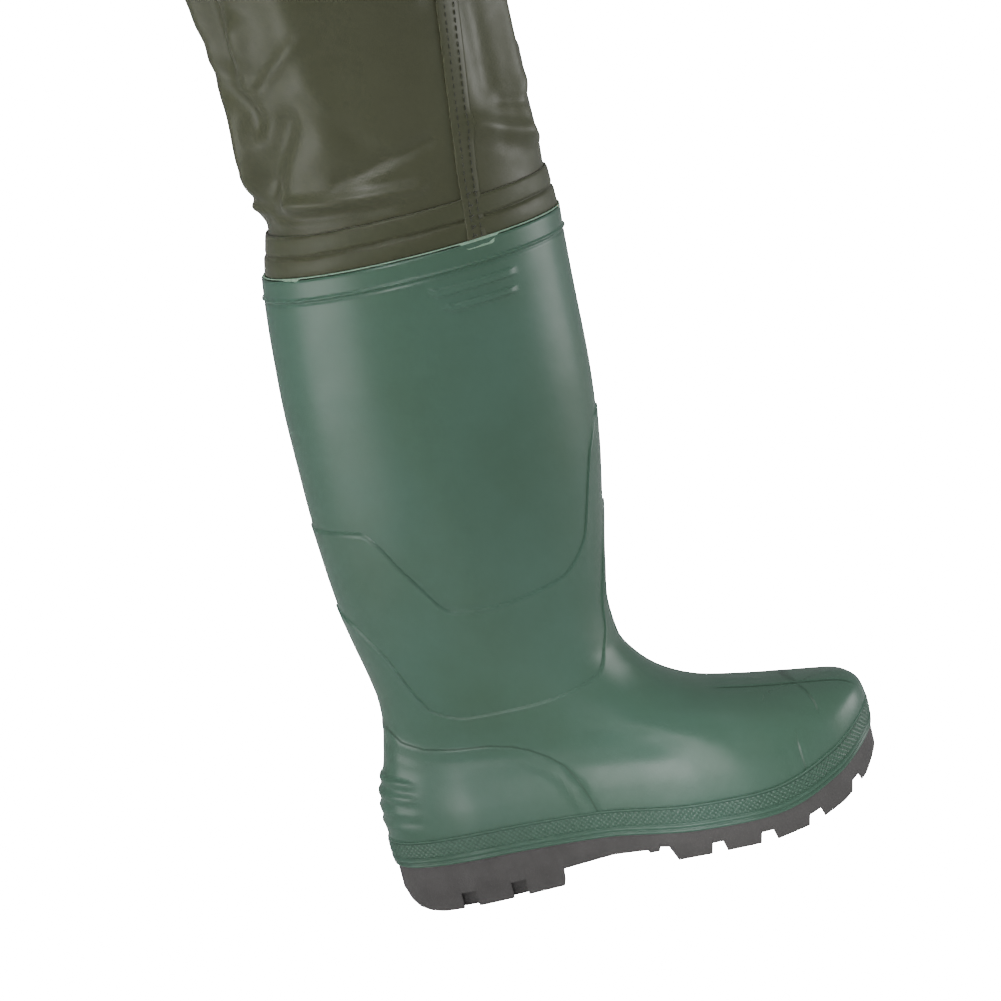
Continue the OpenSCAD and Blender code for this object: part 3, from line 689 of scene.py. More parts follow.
def buildOutsoles(spec):
    steps = list(-0.6 + 303.4 * (1 - np.cos(np.linspace(0, math.pi, 120))) / 2)
    edges = [96, 97.5, 150, 151, 157, 158, 163, 167]
    for centre, width, _ in spec["gaps"]:
        edges += [centre - width / 2 - 1, centre - width / 2 + 0.6, centre + width / 2 - 0.6,
                  centre + width / 2 + 1]
    for centre in spec["heelSlots"]:
        edges += [centre - 4.55, centre - 4.45, centre + 4.45, centre + 4.55]
    stations = np.array(sorted(steps + edges))
    share = (stations + 1) / 304
    turn = np.degrees(np.arccos(np.clip(1 - 2 * share, -1, 1)))
    half = 51.2 * through(printKnots, printWidths, turn)
    top = 34 + 13 * share + through(soleDip[0], soleDip[1], share) + 0.4
    low = np.interp(stations, *spec["tread"])
    for centre, width, depth in spec["gaps"]:
        inGap = np.clip((width / 2 + 1 - np.abs(stations - centre)) / 1.6, 0, 1)
        low = low + depth * inGap
    slotted = np.zeros_like(stations)
    for centre in spec["heelSlots"]:
        slotted = np.maximum(slotted, np.abs(stations - centre) < 4.5)
    centreLine = -130 + through(toeIn[0], toeIn[1], share)
    _, slotH, slotDeep = spec["slotSize"]
    rings = []
    for k, f in enumerate(stations):
        wall, floorH, roof = half[k], low[k], top[k]
        recess = slotDeep if slotted[k] else 0
        edgeH = max(slotH, floorH + 2.5) if floorH < 3 and f < 97 else floorH + 2.5
        draft = 1.2 * min(1, wall / 20)
        outline = [(wall, roof), (wall, roof - 3), (wall - draft * 0.5, edgeH + 0.3),
                   (wall - draft * 0.6 - recess, edgeH), (wall - draft * 0.8 - recess, floorH + 1),
                   (wall - draft - recess - 0.8, floorH), (wall * 0.62, floorH), (wall * 0.3, floorH)]
        outline = [(max(x, 0), z) for x, z in outline]
        ring = outline + [(-x, z) for x, z in outline[::-1]]
        rings.append([(centreLine[k] - x, 100 - f, z) for x, z in ring])
    rings = np.array(rings)
    for name, sign in sides.items():
        piece = gridPiece(f"{name}Outsole", rings * [-sign, 1, 1], solePvc, flip=sign > 0)
        mesh = bmesh.new()
        mesh.from_mesh(piece.data)
        bmesh.ops.remove_doubles(mesh, verts=mesh.verts, dist=0.00003)
        bmesh.ops.holes_fill(mesh, edges=[e for e in mesh.edges if e.is_boundary], sides=0)
        bmesh.ops.recalc_face_normals(mesh, faces=mesh.faces)
        mesh.to_mesh(piece.data)
        mesh.free()
        choose(piece)
        bpy.ops.object.shade_smooth_by_angle(angle=math.radians(32))
        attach(piece, f"{name}_lower_leg")
        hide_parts(f"{name}_outsole")


buildOutsoles(outsole)
print("outsoles are cut")


legRing = {"height": [385, 403, 432, 480, 550, 600, 700], "centre": [130, 130, 130, 128.6, 126, 124, 119],
           "width": [63.5, 63.5, 65.5, 70, 78, 85, 103],
           "depth": [88.2, 88.2, 88.8, 88.4, 87.5, 95, 114], "tuck": [3, 3.5, 9, 7, 0, 0, 0]}


# A point of the wearer's right leg: turn 180 is the outer side and 90 the back
def legPoint(turn, height, out=0):
    centre = through(legRing["height"], legRing["centre"], height)
    width = through(legRing["height"], legRing["width"], height) + out
    depth = through(legRing["height"], legRing["depth"], height) + out
    angle = np.radians(turn)
    back = np.clip(np.sin(angle), 0, 1) ** 2
    tuck = through(legRing["height"], legRing["tuck"], height) * back
    return np.stack(np.broadcast_arrays(-centre + width * np.cos(angle),
                                        1.2 + depth * np.sin(angle) - tuck, height), -1)


lowerLeg = {
    "columns": 200, "rows": 130, "low": 385, "high": 606, "foldDepth": 1.3, "around": 504,
    # lines on the flat cloth: distance round the leg and height at both ends, width, height of the fold
    "folds": [
        (150, 610, 158, 470, 9, 4.5), (168, 600, 172, 490, 8, -4), (185, 560, 150, 455, 9, 4),
        (158, 470, 128, 436, 7, 3.5), (205, 500, 170, 455, 8, -3), (178, 448, 268, 441, 4.5, 2.6),
        (150, 440, 250, 434, 3.5, -2), (120, 452, 190, 430, 4, 2.2), (215, 600, 222, 470, 12, 3),
        (300, 470, 360, 446, 6, 2.6), (330, 600, 322, 480, 10, -3), (360, 560, 345, 450, 9, 3.4),
        (60, 600, 80, 470, 14, 5), (30, 520, 100, 450, 9, -4), (0, 600, 20, 480, 14, 4),
        (400, 600, 420, 480, 14, 4.5), (440, 500, 480, 450, 8, -4), (470, 600, 480, 470, 12, 4)],
}


def hugs(height):
    return smoothStep(428, 446, height)


legs = {}


def buildLowerLegs(spec):
    turns = np.arange(spec["columns"]) * 360 / spec["columns"]
    heights = np.linspace(spec["low"], spec["high"], spec["rows"])
    around = spec["around"]
    u, v = np.meshgrid(turns * (around / 360), heights)
    flatPoints = legPoint(turns[None, :], heights[:, None])
    for name, sign in sides.items():
        lines = spec["folds"] if name == "right" else [(around - a, b, around - c, d, w, h * 0.9)
                                                       for a, b, c, d, w, h in spec["folds"]]
        extra = randomFolds(11 if name == "right" else 12, 46, (-20, 520), (440, 600), 46, 6, 1.6, 1.2)
        lift = folds(u, v, lines + extra)
        lift += 1.2 * np.sin(u / around * 2 * math.pi * 3 + 1)
        wrap = folds(u + around, v, extra) + folds(u - around, v, extra)
        lift = spec["foldDepth"] * (lift + wrap) * hugs(v)
        # the cloth sinks in behind, just above the band
        lift -= 1.5 * np.exp(-((v - 444) / 17) ** 2) * np.exp(-((u - 140) / 46) ** 2) * hugs(v + 8)
        points = legPoint(turns[None, :], heights[:, None])
        outward = gridNormals(points, True)
        if (outward[5, :, 0] * (points[5, :, 0] + 130)).sum() < 0:
            outward = -outward
        points = (points + outward * lift[..., None]) * [-sign, 1, 1]
        legs[name] = Surface(turns, points, outward * [-sign, 1, 1], True)
        piece = clothPiece(f"{name}LowerLeg", points, cloth, closed=True, flip=sign > 0)
        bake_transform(piece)
        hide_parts(f"{name}_knee_fabric", f"{name}_shin_fabric")


buildLowerLegs(lowerLeg)
print("lower legs are hung")

cuff = {
    "columns": 260,
    # height above the boot's rim and how far out, over two pressed ribs
    "section": [(0, 0.4), (0.1, 3.1), (0.8, 3.5), (9.6, 3.2), (10.6, 2.8), (11.4, 1.2), (12.2, 1.1),
                (13, 2.2), (14, 2.5), (22.5, 2.0), (24, 1.5), (24.2, 0.3)],
}


def buildCuffs(spec):
    turns = np.arange(spec["columns"]) * 360 / spec["columns"]
    for name, sign in sides.items():
        dice = np.random.default_rng(5 if name == "right" else 6)
        wobble = sum(dice.uniform(0.15, 0.4) * np.sin(np.radians(turns) * n + dice.uniform(0, 6))
                     for n in (5, 9, 14, 23))
        rings = [legPoint(turns, 404.3 + up + (0.5 * wobble if 2 < up < 23 else 0.25 * wobble), out)
                 for up, out in spec["section"]]
        piece = gridPiece(f"{name}Cuff", np.array(rings) * [-sign, 1, 1], cuffCloth, loop=True,
                          flip=sign > 0)
        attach(piece, f"{name}_lower_leg")
        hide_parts(f"{name}_cuff_band")


buildCuffs(cuff)
print("cuffs are welded")


legSeam = {
    "stitchRows": (0.32, 0.72), "low": 404.6, "high": 606,
    # across the strip: share of its width and how far it stands off the cloth
    "section": [(0, 0.3), (0.015, 1.3), (0.06, 1.4), (0.3, 1.2), (0.7, 0.9), (0.92, 0.6), (1, 0.3)],
}


# The strip leans forward as it climbs: distance behind the middle of its back edge, and width
def seamPlace(height, share):
    y = 100 - (131.3 + (height - 404) * 0.116 + share * (11.5 + 3.5 * (height - 404) / 200))
    depth = through(legRing["height"], legRing["depth"], height)
    return 180 - np.degrees(np.arcsin((y - 1.2) / depth))


def cuffRise(height):
    return 1.2 + 1.9 * smoothStep(420, 405, height) - 1.2 * smoothStep(427.5, 431, height)


def buildLegSeams(spec):
    heights = np.linspace(spec["low"], spec["high"], 120)
    share = (heights - lowerLeg["low"]) / (lowerLeg["high"] - lowerLeg["low"])
    for name, sign in sides.items():
        surface = legs[name]
        top, bottom = [], []
        for across, out in spec["section"]:
            turn = seamPlace(heights, across)
            top.append(surface.at(turn, share, out + cuffRise(heights))[0])
            bottom.append(surface.at(turn, share, 0.3 + cuffRise(heights))[0])
        grid = np.array(top + bottom[::-1]).swapaxes(0, 1)
        strip = gridPiece(f"{name}LegSeam", grid, cloth, closed=True, flip=sign > 0)
        stitches = []
        for row in spec["stitchRows"]:
            line, normals = surface.at(seamPlace(heights, row), share, 1.15 + cuffRise(heights))
            stitches.append((line, normals))
        for up in (406.5, 412, 418, 424, 431):
            across = np.linspace(0.2, 0.85, 8)
            line, normals = surface.at(seamPlace(up, across), (up - 385) / 221,
                                       1.2 + cuffRise(np.full(8, up)))
            stitches.append((line, normals))
        sewn = stitchPiece(f"{name}LegSeamStitches", stitches)
        for piece in (strip, sewn):
            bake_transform(piece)


buildLegSeams(legSeam)
print("leg seams are sewn")

# Dried adhesive along the boot's rim: patches as (middle turn, half turn, drop)
adhesiveSpots = [(206, 8.5, 4.6), (126, 6, 1.4), (262, 4, 1.6), (60, 7, 2), (330, 8, 1.8), (10, 6, 2.2)]


def buildAdhesive(spots):
    turns = np.arange(0, 360, 0.75)
    for name, sign in sides.items():
        dice = np.random.default_rng(21 if name == "right" else 22)
        ragged = sum(dice.uniform(0.4, 1) / n ** 0.5 * np.sin(np.radians(turns) * n + dice.uniform(0, 6))
                     for n in (13, 22, 37, 58))
        drop = np.clip(0.45 + 0.14 * ragged, 0.12, 1)
        for at, half, deep in spots:
            near = smoothStep(half, half * 0.55, np.abs((turns - at + 180) % 360 - 180))
            drop = drop + near * (deep + 0.3 * ragged)
        lip = 404.6
        rows = [legPoint(turns, lip, 4.1), legPoint(turns, lip - 0.2, 4.5)]
        for t in (0.2, 0.45, 0.7, 0.9, 1):
            rows.append(legPoint(turns, lip - t * drop - 0.3, 4.6 + 0.3 * ragged * (t < 0.9) * (drop > 1.6)))
        rows.append(legPoint(turns, lip - drop - 0.35, 3.2))
        piece = gridPiece(f"{name}Adhesive", np.array(rows)[::-1] * [-sign, 1, 1], adhesive, loop=True,
                          flip=sign > 0)
        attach(piece, f"{name}_lower_leg")


buildAdhesive(adhesiveSpots)
print("adhesive is laid along the rims")

insoleSpec = {"thick": 3.2, "inset": 5.4}


def buildInsoles(spec):
    turns = np.arange(0, 360, 3.0)
    rings = []
    for inset, up in ((20, 0.5), (spec["inset"] + 0.8, 0.5), (spec["inset"], 1.1),
                      (spec["inset"], spec["thick"] - 0.5), (spec["inset"] + 0.8, spec["thick"]),
                      (20, spec["thick"])):
        rings.append(ringPoint([weltRow[0] + inset, weltRow[1] + up, weltRow[2] - inset,
                                weltRow[3] + up, weltRow[4] - inset, 1, 1], turns))
    for name, sign in sides.items():
        piece = gridPiece(f"{name}Insole", np.array(rings) * [-sign, 1, 1], knit, flip=sign < 0)
        choose(piece)
        bpy.ops.object.mode_set(mode="EDIT")
        bpy.ops.mesh.select_all(action="DESELECT")
        bpy.ops.mesh.select_non_manifold()
        bpy.ops.mesh.edge_face_add()
        bpy.ops.mesh.select_all(action="SELECT")
        bpy.ops.mesh.normals_make_consistent(inside=False)
        bpy.ops.object.mode_set(mode="OBJECT")
        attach(piece, f"{name}_lower_leg")
        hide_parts(f"{name}_insole")


buildInsoles(insoleSpec)


upperLeg = {
    "columns": 168, "rows": 96, "low": 600, "holeMiddle": 112, "slope": 0.4, "around": 630,
    "folds": [(60, 700, 180, 760, 14, 5), (90, 640, 200, 690, 12, -4), (230, 620, 330, 680, 14, 5),
              (360, 660, 470, 720, 13, -4.5), (420, 610, 560, 650, 12, 4), (20, 790, 120, 830, 12, 4),
              (300, 780, 400, 760, 14, 4), (480, 760, 600, 800, 15, -5), (150, 810, 260, 850, 14, 4),
              (520, 700, 640, 740, 12, 3.5), (0, 720, 60, 650, 12, -3)],
}


def holePoint(turn, out=0):
    angle = np.radians(turn)
    a, b, c = 223 + out, 146 + out, upperLeg["holeMiddle"]
    p = np.cos(angle) ** 2 / a ** 2 + np.sin(angle) ** 2 / b ** 2
    q, s = -2 * c * np.cos(angle) / a ** 2, c * c / a ** 2 - 1
    roundSide = (-q + np.sqrt(q * q - 4 * p * s)) / 2 / p
    flatSide = (c - 12.2) / np.clip(np.cos(angle), 0.02, 1)
    reach = (roundSide ** -24 + flatSide ** -24) ** (-1 / 24)
    x = -c + reach * np.cos(angle)
    return np.stack([x, reach * np.sin(angle), 803.7 + upperLeg["slope"] * np.abs(x)], -1)


def buildUpperLegs(spec):
    turns = np.arange(spec["columns"]) * 360 / spec["columns"]
    share = np.linspace(0, 1, spec["rows"])[:, None]
    straight = legPoint(turns[None, :], spec["low"] + 104 * np.clip(share / 0.36, 0, 1))
    climb = smoothStep(-0.15, 1.15, np.clip((share - 0.36) / 0.64, 0, 1))
    climb = (climb - smoothStep(-0.15, 1.15, 0.0)) / (1 - 2 * smoothStep(-0.15, 1.15, 0.0))
    climb = 0.5 * climb + 0.5 * np.clip((share - 0.36) / 0.64, 0, 1)
    flatPoints = straight * (1 - climb[..., None]) + holePoint(turns)[None] * climb[..., None]
    around = spec["around"]
    u = np.broadcast_to(turns[None, :] * (around / 360), flatPoints.shape[:2])
    v = flatPoints[..., 2]
    outward = gridNormals(flatPoints, True)
    if (outward[5, :, 0] * (flatPoints[5, :, 0] + 124)).sum() < 0:
        outward = -outward
    for name, sign in sides.items():
        lines = spec["folds"] if name == "right" else [(around - a, b, around - c, d, w, h * 0.9)
                                                       for a, b, c, d, w, h in spec["folds"]]
        extra = randomFolds(31 if name == "right" else 32, 60, (-20, 650), (600, 860), 70, 8, 2.2, 0.6)
        lift = folds(u, v, lines + extra)
        lift += folds(u + around, v, extra) + folds(u - around, v, extra)
        inner = smoothStep(14, 40, np.abs(flatPoints[..., 0]))
        lift = np.clip(lift, -9, 5) * smoothStep(0, 0.06, share) * smoothStep(1, 0.86, share) * inner
        points = (flatPoints + outward * (lift + 1.0 * smoothStep(0.05, 0, share))[..., None])
        points = points * [-sign, 1, 1]
        piece = clothPiece(f"{name}UpperLeg", points, cloth, closed=True, flip=sign > 0)
        surface = Surface(turns, points, outward * [-sign, 1, 1], True)
        tape = np.linspace(0.012, 0.05, 6)[:, None]
        rise = np.array([0.25, 1.2, 1.4, 1.4, 1.2, 0.25])[:, None]
        band = surface.at(np.broadcast_to(turns, (6, len(turns))), tape, rise)[0]
        knee = gridPiece(f"{name}KneeTape", band, cloth, flip=sign > 0)
        applyModifier(knee, "SOLIDIFY", thickness=0.0005, offset=-1)
        stitches = [surface.at(np.append(turns, 359.9), t, 1.5) for t in (0.02, 0.042)]
        sewn = stitchPiece(f"{name}KneeTapeStitches", stitches, length=3.6, gap=2)
        for cut in (piece, knee, sewn):
            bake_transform(cut)
        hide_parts(f"{name}_hip_fabric", f"{name}_thigh_fabric")


buildUpperLegs(upperLeg)
print("upper legs are hung")


trunkRing = {"height": [800, 900, 1000, 1110, 1292], "width": [222, 226, 218, 222, 222],
             "depth": [145, 150, 145, 148, 148]}


# A point of the trunk: turn 0 is in front and 90 at the wearer's left hip
def trunkPoint(turn, height, out=0):
    width = through(trunkRing["height"], trunkRing["width"], height) + out
    depth = through(trunkRing["height"], trunkRing["depth"], height) + out
    angle = np.radians(turn)
    return np.stack(np.broadcast_arrays(width * np.sin(angle), -depth * np.cos(angle), height), -1)


def topEdge(turn):
    t = np.abs((np.asarray(turn, float) + 180) % 360 - 180)
    return np.where(t < 90, 1290 - 65 * smoothStep(37.5, 82.5, t), 1225 + 15 * smoothStep(105, 165, t))


def legEdge(turn):
    return 804 + 89.2 * np.abs(np.sin(np.radians(turn)))


bib = {
    "columns": 170, "rows": 130,
    "frontFolds": [(-190, 840, -120, 980, 16, -6), (200, 850, 130, 1000, 16, -6),
                   (-150, 830, -40, 880, 14, 4),
                   (150, 835, 50, 890, 14, 4), (-230, 960, -140, 1040, 14, 4), (235, 980, 150, 1060, 14, 4),
                   (-60, 1100, -66, 940, 20, -5), (70, 1080, 76, 930, 20, -5), (0, 1090, 4, 900, 24, 3),
                   (-250, 1190, -170, 1110, 12, -4), (250, 1180, 175, 1120, 12, -4)],
    "backFolds": [(-170, 840, -110, 1000, 18, -6), (180, 850, 110, 990, 18, -6), (-40, 1000, -60, 840, 20, 4),
                  (50, 1010, 60, 850, 20, 4), (0, 1150, -10, 1010, 22, -5), (-230, 1000, -130, 1080, 14, 4),
                  (230, 990, 140, 1090, 14, 4), (-100, 1120, -120, 1020, 16, -4),
                  (110, 1110, 130, 1010, 16, -4)],
}


# How freely the cloth moves: it lies flat under the pocket, braces, seams and edges
def trunkFreedom(turn, height, share):
    t = np.abs((turn + 180) % 360 - 180)
    free = smoothStep(0, 0.06, share) * smoothStep(1, 0.9, share) * smoothStep(0, 7, np.abs(t - 90) - 3)
    inPocket = smoothStep(24, 18, t) * smoothStep(1090, 1112, height)
    underTab = smoothStep(15, 11, np.abs(t - 26)) * smoothStep(1200, 1232, height)
    underBrace = smoothStep(148, 154, t) * smoothStep(1150, 1185, height)
    return free * (1 - inPocket) * (1 - underTab) * (1 - underBrace)


trunkSurfaces = {}


def buildBib(spec):
    share = np.linspace(0, 1, spec["rows"])[:, None]
    for name, centre, lines, seed, node in (("bibFront", 0, spec["frontFolds"], 41, "bib_front"),
                                            ("bibBack", 180, spec["backFolds"], 42, "bib_back")):
        turns = np.linspace(-89.7, 89.7, spec["columns"]) + centre
        low, high = legEdge(turns), topEdge(turns)
        heights = low + (high - low) * share
        flatPoints = trunkPoint(turns[None, :], heights)
        u, v = np.broadcast_to((turns - centre)[None, :] * 3.25, heights.shape), heights
        extra = randomFolds(seed, 70, (-280, 280), (820, 1200), 90, 10, 3, 0.9)
        lift = np.clip(folds(u, v, lines + extra) - 1.5, -13, 1.2)
        lift = lift * trunkFreedom(turns[None, :], heights, share)
        outward = gridNormals(flatPoints, False)
        if (outward * (flatPoints - [0, 0, 1000]))[..., :2].sum() < 0:
            outward = -outward
        points = flatPoints + outward * lift[..., None]
        piece = clothPiece(name, points, cloth, thick=0.8)
        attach(piece, "trunk")
        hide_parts(node)
        trunkSurfaces[name] = Surface(turns, points, outward, False)


buildBib(bib)
print("bib is cut")


# A flat strip on the trunk with a soft section, its rows given by heights for each column
def trunkStrip(name, turn0, turn1, columns, low, high, out, material, edge=1.0, rows=12, crown=0.0):
    turns = np.linspace(turn0, turn1, columns)
    lows = low(turns) if callable(low) else np.full(columns, float(low))
    highs = high(turns) if callable(high) else np.full(columns, float(high))
    share = np.concatenate([[0], np.linspace(0.012, 0.988, rows), [1]])[:, None]
    across = np.linspace(0, 1, columns)[None, :]
    rim = np.minimum(np.minimum(across, 1 - across) * columns / 1.5,
                     np.minimum(share, 1 - share) * rows / 1.2)
    lift = out - edge * (1 - np.clip(rim, 0, 1) ** 0.5) + crown * np.sin(math.pi * across) * np.sin(
        math.pi * share)
    points = trunkPoint(turns[None, :], lows + (highs - lows) * share, lift)
    piece = gridPiece(name, points, material, closed=False, flip=False)
    return piece, turns


def sewnLine(turns, heights, out):
    points = trunkPoint(np.asarray(turns, float), np.asarray(heights, float), out)
    normals = points * [1 / 222 ** 2, 1 / 148 ** 2, 0]
    return points, normals / np.linalg.norm(normals, axis=1, keepdims=True)


def ridesOn(piece, body, slot, *nodes):
    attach(piece, body)
    if nodes:
        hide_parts(*nodes)


def buildTrunkSeams():
    hemLow = 24
    for name, sign in sides.items():
        seam, _ = trunkStrip(f"{name}SideSeam", sign * 90 - 4, sign * 90 + 4, 14,
                             lambda t: legEdge(t) + 1, lambda t: topEdge(t) - hemLow, 1.9, cloth, 1.6, 120)
        applyModifier(seam, "SOLIDIFY", thickness=0.0006, offset=-1)
        ridesOn(seam, "trunk", "coated_fabric", f"{name}_side_seam")
        heights = np.linspace(896, 1198, 160)
        lines = [sewnLine(np.full(160, sign * 90 + turn), heights, 2.0) for turn in (-2.6, 2.6)]
        ridesOn(stitchPiece(f"{name}SideSeamStitches", lines), "trunk", "coated_fabric")
    edge = np.linspace(6, 174, 240)
    for name, sign in sides.items():
        tape, _ = trunkStrip(f"{name}LegHoleTape", sign * 5.5, sign * 174.5, 150, legEdge,
                             lambda t: legEdge(t) + 13, 1.3, cloth, 1.1, 7)
        if sign < 0:
            tape.data.flip_normals()
        applyModifier(tape, "SOLIDIFY", thickness=0.0006, offset=-1)
        ridesOn(tape, "trunk", "coated_fabric")
        lines = [sewnLine(sign * edge, legEdge(edge) + up, 1.35) for up in (3.5, 9.5)]
        ridesOn(stitchPiece(f"{name}LegHoleStitches", lines, length=3.6, gap=2), "trunk",
                "coated_fabric")


buildTrunkSeams()

hem = {"columns": 420, "deep": 22,
       "section": [(-22, -4.4), (-11, -4.5), (0.5, -4.3), (1.8, -3), (2, -1.2), (1.6, 0.9), (0.2, 2.1),
                   (-10, 2.2), (-21, 2.1), (-22, 1.6), (-21.6, 0.4), (-1, 0.4), (-0.6, -2.6), (-21.6, -2.7)]}


def buildHem(spec):
    turns = np.arange(spec["columns"]) * 360 / spec["columns"]
    dice = np.random.default_rng(51)
    pucker = sum(dice.uniform(0.1, 0.3) * np.sin(np.radians(turns) * n + dice.uniform(0, 6))
                 for n in (24, 41, 67, 95))
    rings = []
    for up, out in spec["section"]:
        loose = pucker * (out > 0.5) * (-20 < up < 0) * 0.6
        rings.append(trunkPoint(turns, topEdge(turns) + up + 0.2 * pucker, out + loose))
    band = gridPiece("topHem", np.array(rings), binding, loop=True, flip=True)
    ridesOn(band, "trunk", "hem_tape", "top_hem")
    turn = np.linspace(0, 360, 900)
    lines = [sewnLine(turn, topEdge(turn) - down, 2.35) for down in (4, 18)]
    ridesOn(stitchPiece("topHemStitches", lines, length=3.6, gap=2), "trunk", "hem_tape")


# Woven polyester binding tape, with ribs 1.1 mm apart across it
def wovenTape(name, dark, light, ribs, roughness=0.75, direction="X"):
    material = newMaterial(name, dark, roughness, Sheen_Weight=0.35, Sheen_Roughness=0.4)
    flat = addNode(material, "UVMap", uv_map="surface")
    along = addNode(material, "TexWave", {"Scale": ribs, "Distortion": 0.3}, {"Vector": flat.outputs[0]},
                    bands_direction=direction)
    cross = addNode(material, "TexWave", {"Scale": ribs * 1.6, "Distortion": 0.6},
                    {"Vector": flat.outputs[0]}, bands_direction="Y" if direction == "X" else "X")
    both = addNode(material, "Math", links={0: along.outputs["Fac"], 1: cross.outputs["Fac"]},
                   operation="MULTIPLY")
    tone = addNode(material, "Mix", {6: linear(dark), 7: linear(light)}, {0: both.outputs[0]},
                   data_type="RGBA")
    intoShader(material, "Base Color", tone.outputs[2])
    bump = addNode(material, "Bump", {"Strength": 0.6, "Distance": 0.0005}, {"Height": both.outputs[0]})
    intoShader(material, "Normal", bump.outputs[0])
    return material


binding = wovenTape("polyester binding tape", "#2c2f22", "#434734", 280.0)
webbing = wovenTape("ribbed elastic webbing", "#2b2e22", "#4a4e3a", 150.0, direction="X")
buildHem(hem)
print("hem and seams are sewn")


def buildCrotchPatch():
    y, x = np.linspace(-143, 143, 90), np.linspace(-12.1, 12.1, 14)
    grid = np.stack(np.meshgrid(x, y), -1)
    bulge = 0.9 * np.cos(grid[..., 0] / 12.1 * math.pi / 2) * smoothStep(143, 120, np.abs(grid[..., 1]))
    points = np.concatenate([grid, (802.6 - bulge)[..., None]], -1)
    patch = gridPiece("crotchPatch", points, cloth, closed=False, flip=True)
    applyModifier(patch, "SOLIDIFY", thickness=0.0016, offset=-1)
    ridesOn(patch, "trunk", "coated_fabric", "crotch_patch")
    along = np.linspace(-138, 138, 120)
    lines = [(np.stack([np.full(120, side), along, np.full(120, 802.4)], -1), np.tile([0, 0, -1.0], (120, 1)))
             for side in (-9.5, 9.5)]
    ridesOn(stitchPiece("crotchPatchStitches", lines), "trunk", "coated_fabric")


buildCrotchPatch()


pocket = {"turn": 16, "low": 1120, "high": 1225, "deep": 16, "flapTurn": 16.6, "pleat": 4.5}


def buildPocket(spec):
    turn, low, high, deep = spec["turn"], spec["low"], spec["high"], spec["deep"]
    u, v = np.linspace(-1, 1, 60), np.linspace(0, 1, 60)
    uu, vv = np.meshgrid(u, v)
    # rounded lower corners, and a front that bellies out a little
    corner = np.clip(1 - vv / 0.14, 0, 1)
    width = turn * (1 - 0.1 * corner ** 2)
    belly = 1.1 * np.cos(uu * math.pi / 2) * np.sin(np.clip(vv, 0, 1) * math.pi * 0.8)
    edge = np.minimum(np.minimum(1 - np.abs(uu), vv) / 0.05, 1)
    out = deep - 0.9 - 1.6 * (1 - edge) ** 2 + belly
    points = trunkPoint(uu * width, low + (high - low) * vv, out)
    panel = clothPiece("pocketPanel", points, cloth, thick=0.9)
    ridesOn(panel, "trunk", "coated_fabric", "pocket_panel")

    # the gusset runs down one side, along the bottom and up the other, with one inward pleat
    side = np.linspace(high, low + 12, 30)
    path = [(-turn, h) for h in side]
    for a in np.linspace(0, 90, 10)[1:]:
        path.append((-turn + 4.4 * (1 - math.cos(math.radians(a))),
                     low + 12 - 12 * math.sin(math.radians(a))))
    path += [(t, low) for t in np.linspace(-turn + 5.4, turn - 5.4, 30)]
    path += [(-t, h) for t, h in path[38::-1]]
    path = np.array(path)
    rows = []
    for t in np.linspace(0, 1, 13):
        pleat = spec["pleat"] * (1 - abs(2 * t - 1)) ** 0.8
        shrink = pleat / 48
        turned = path[:, 0] * (1 - shrink)
        level = path[:, 1] + (path[:, 1] < low + 12) * pleat * smoothStep(low + 12, low, path[:, 1])
        rows.append(trunkPoint(turned, level, 0.3 + (deep - 2.2) * t))
    gusset = gridPiece("pocketGusset", np.array(rows), cloth, closed=False, flip=True)
    applyModifier(gusset, "SOLIDIFY", thickness=0.0006, offset=0)
    ridesOn(gusset, "trunk", "coated_fabric", "pocket_gusset")
    lines = [sewnLine(turn * side * np.ones(60), np.linspace(1132, 1220, 60), deep - 0.2)
             for side in (-0.93, 0.93)]
    lines += [sewnLine(np.linspace(-14, 14, 60), np.full(60, 1126.0), deep + 0.1),
              sewnLine(np.linspace(-15.4, 15.4, 60), np.full(60, 1221.0), deep + 0.1)]
    ridesOn(stitchPiece("pocketStitches", lines), "trunk", "coated_fabric")

    flapHeights = [1190, 1191, 1200, 1215, 1228, 1234, 1240, 1246, 1250, 1254]
    flapOut = [20.2, 20.7, 20.9, 20.9, 20.6, 19, 14.5, 9, 7, 6.2]
    h = np.linspace(1190, 1254, 44)
    wide = np.linspace(-1, 1, 64)
    ww, hh = np.meshgrid(wide, h)
    rounded = np.clip(1 - (hh - 1190) / 14, 0, 1)
    fw = spec["flapTurn"] * (1 - 0.09 * rounded ** 2)
    lift = through(flapHeights, flapOut, hh) + 0.5 * np.sin(ww * 5 + 1) * smoothStep(1246, 1200, hh) - 0.5
    points = trunkPoint(ww * fw, hh, lift)
    flap = clothPiece("pocketFlap", points, cloth, thick=1.4)
    ridesOn(flap, "flap", "coated_fabric", "pocket_flap")
    lines = [sewnLine(np.linspace(-14.2, 14.2, 60), np.full(60, 1194.5), 20.9),
             sewnLine(np.linspace(-14.2, 14.2, 60), np.full(60, 1200.5), 21)]
    lines += [sewnLine(np.full(30, side * 15.4), np.linspace(1204, 1230, 30), 20.8) for side in (-1, 1)]
    ridesOn(stitchPiece("pocketFlapStitches", lines), "flap", "coated_fabric")

    tape, _ = trunkStrip("flapHingeTape", -spec["flapTurn"], spec["flapTurn"], 60, 1246, 1260, 1.9, binding,
                         1.5, 8)
    applyModifier(tape, "SOLIDIFY", thickness=0.0006, offset=-1)
    ridesOn(tape, "trunk", "hem_tape", "flap_hinge_tape")
    lines = [sewnLine(np.linspace(-16, 16, 80), np.full(80, up), 1.95) for up in (1255.5, 1258.5)]
    ridesOn(stitchPiece("flapHingeStitches", lines), "trunk", "hem_tape")


buildPocket(pocket)
print("pocket is sewn")


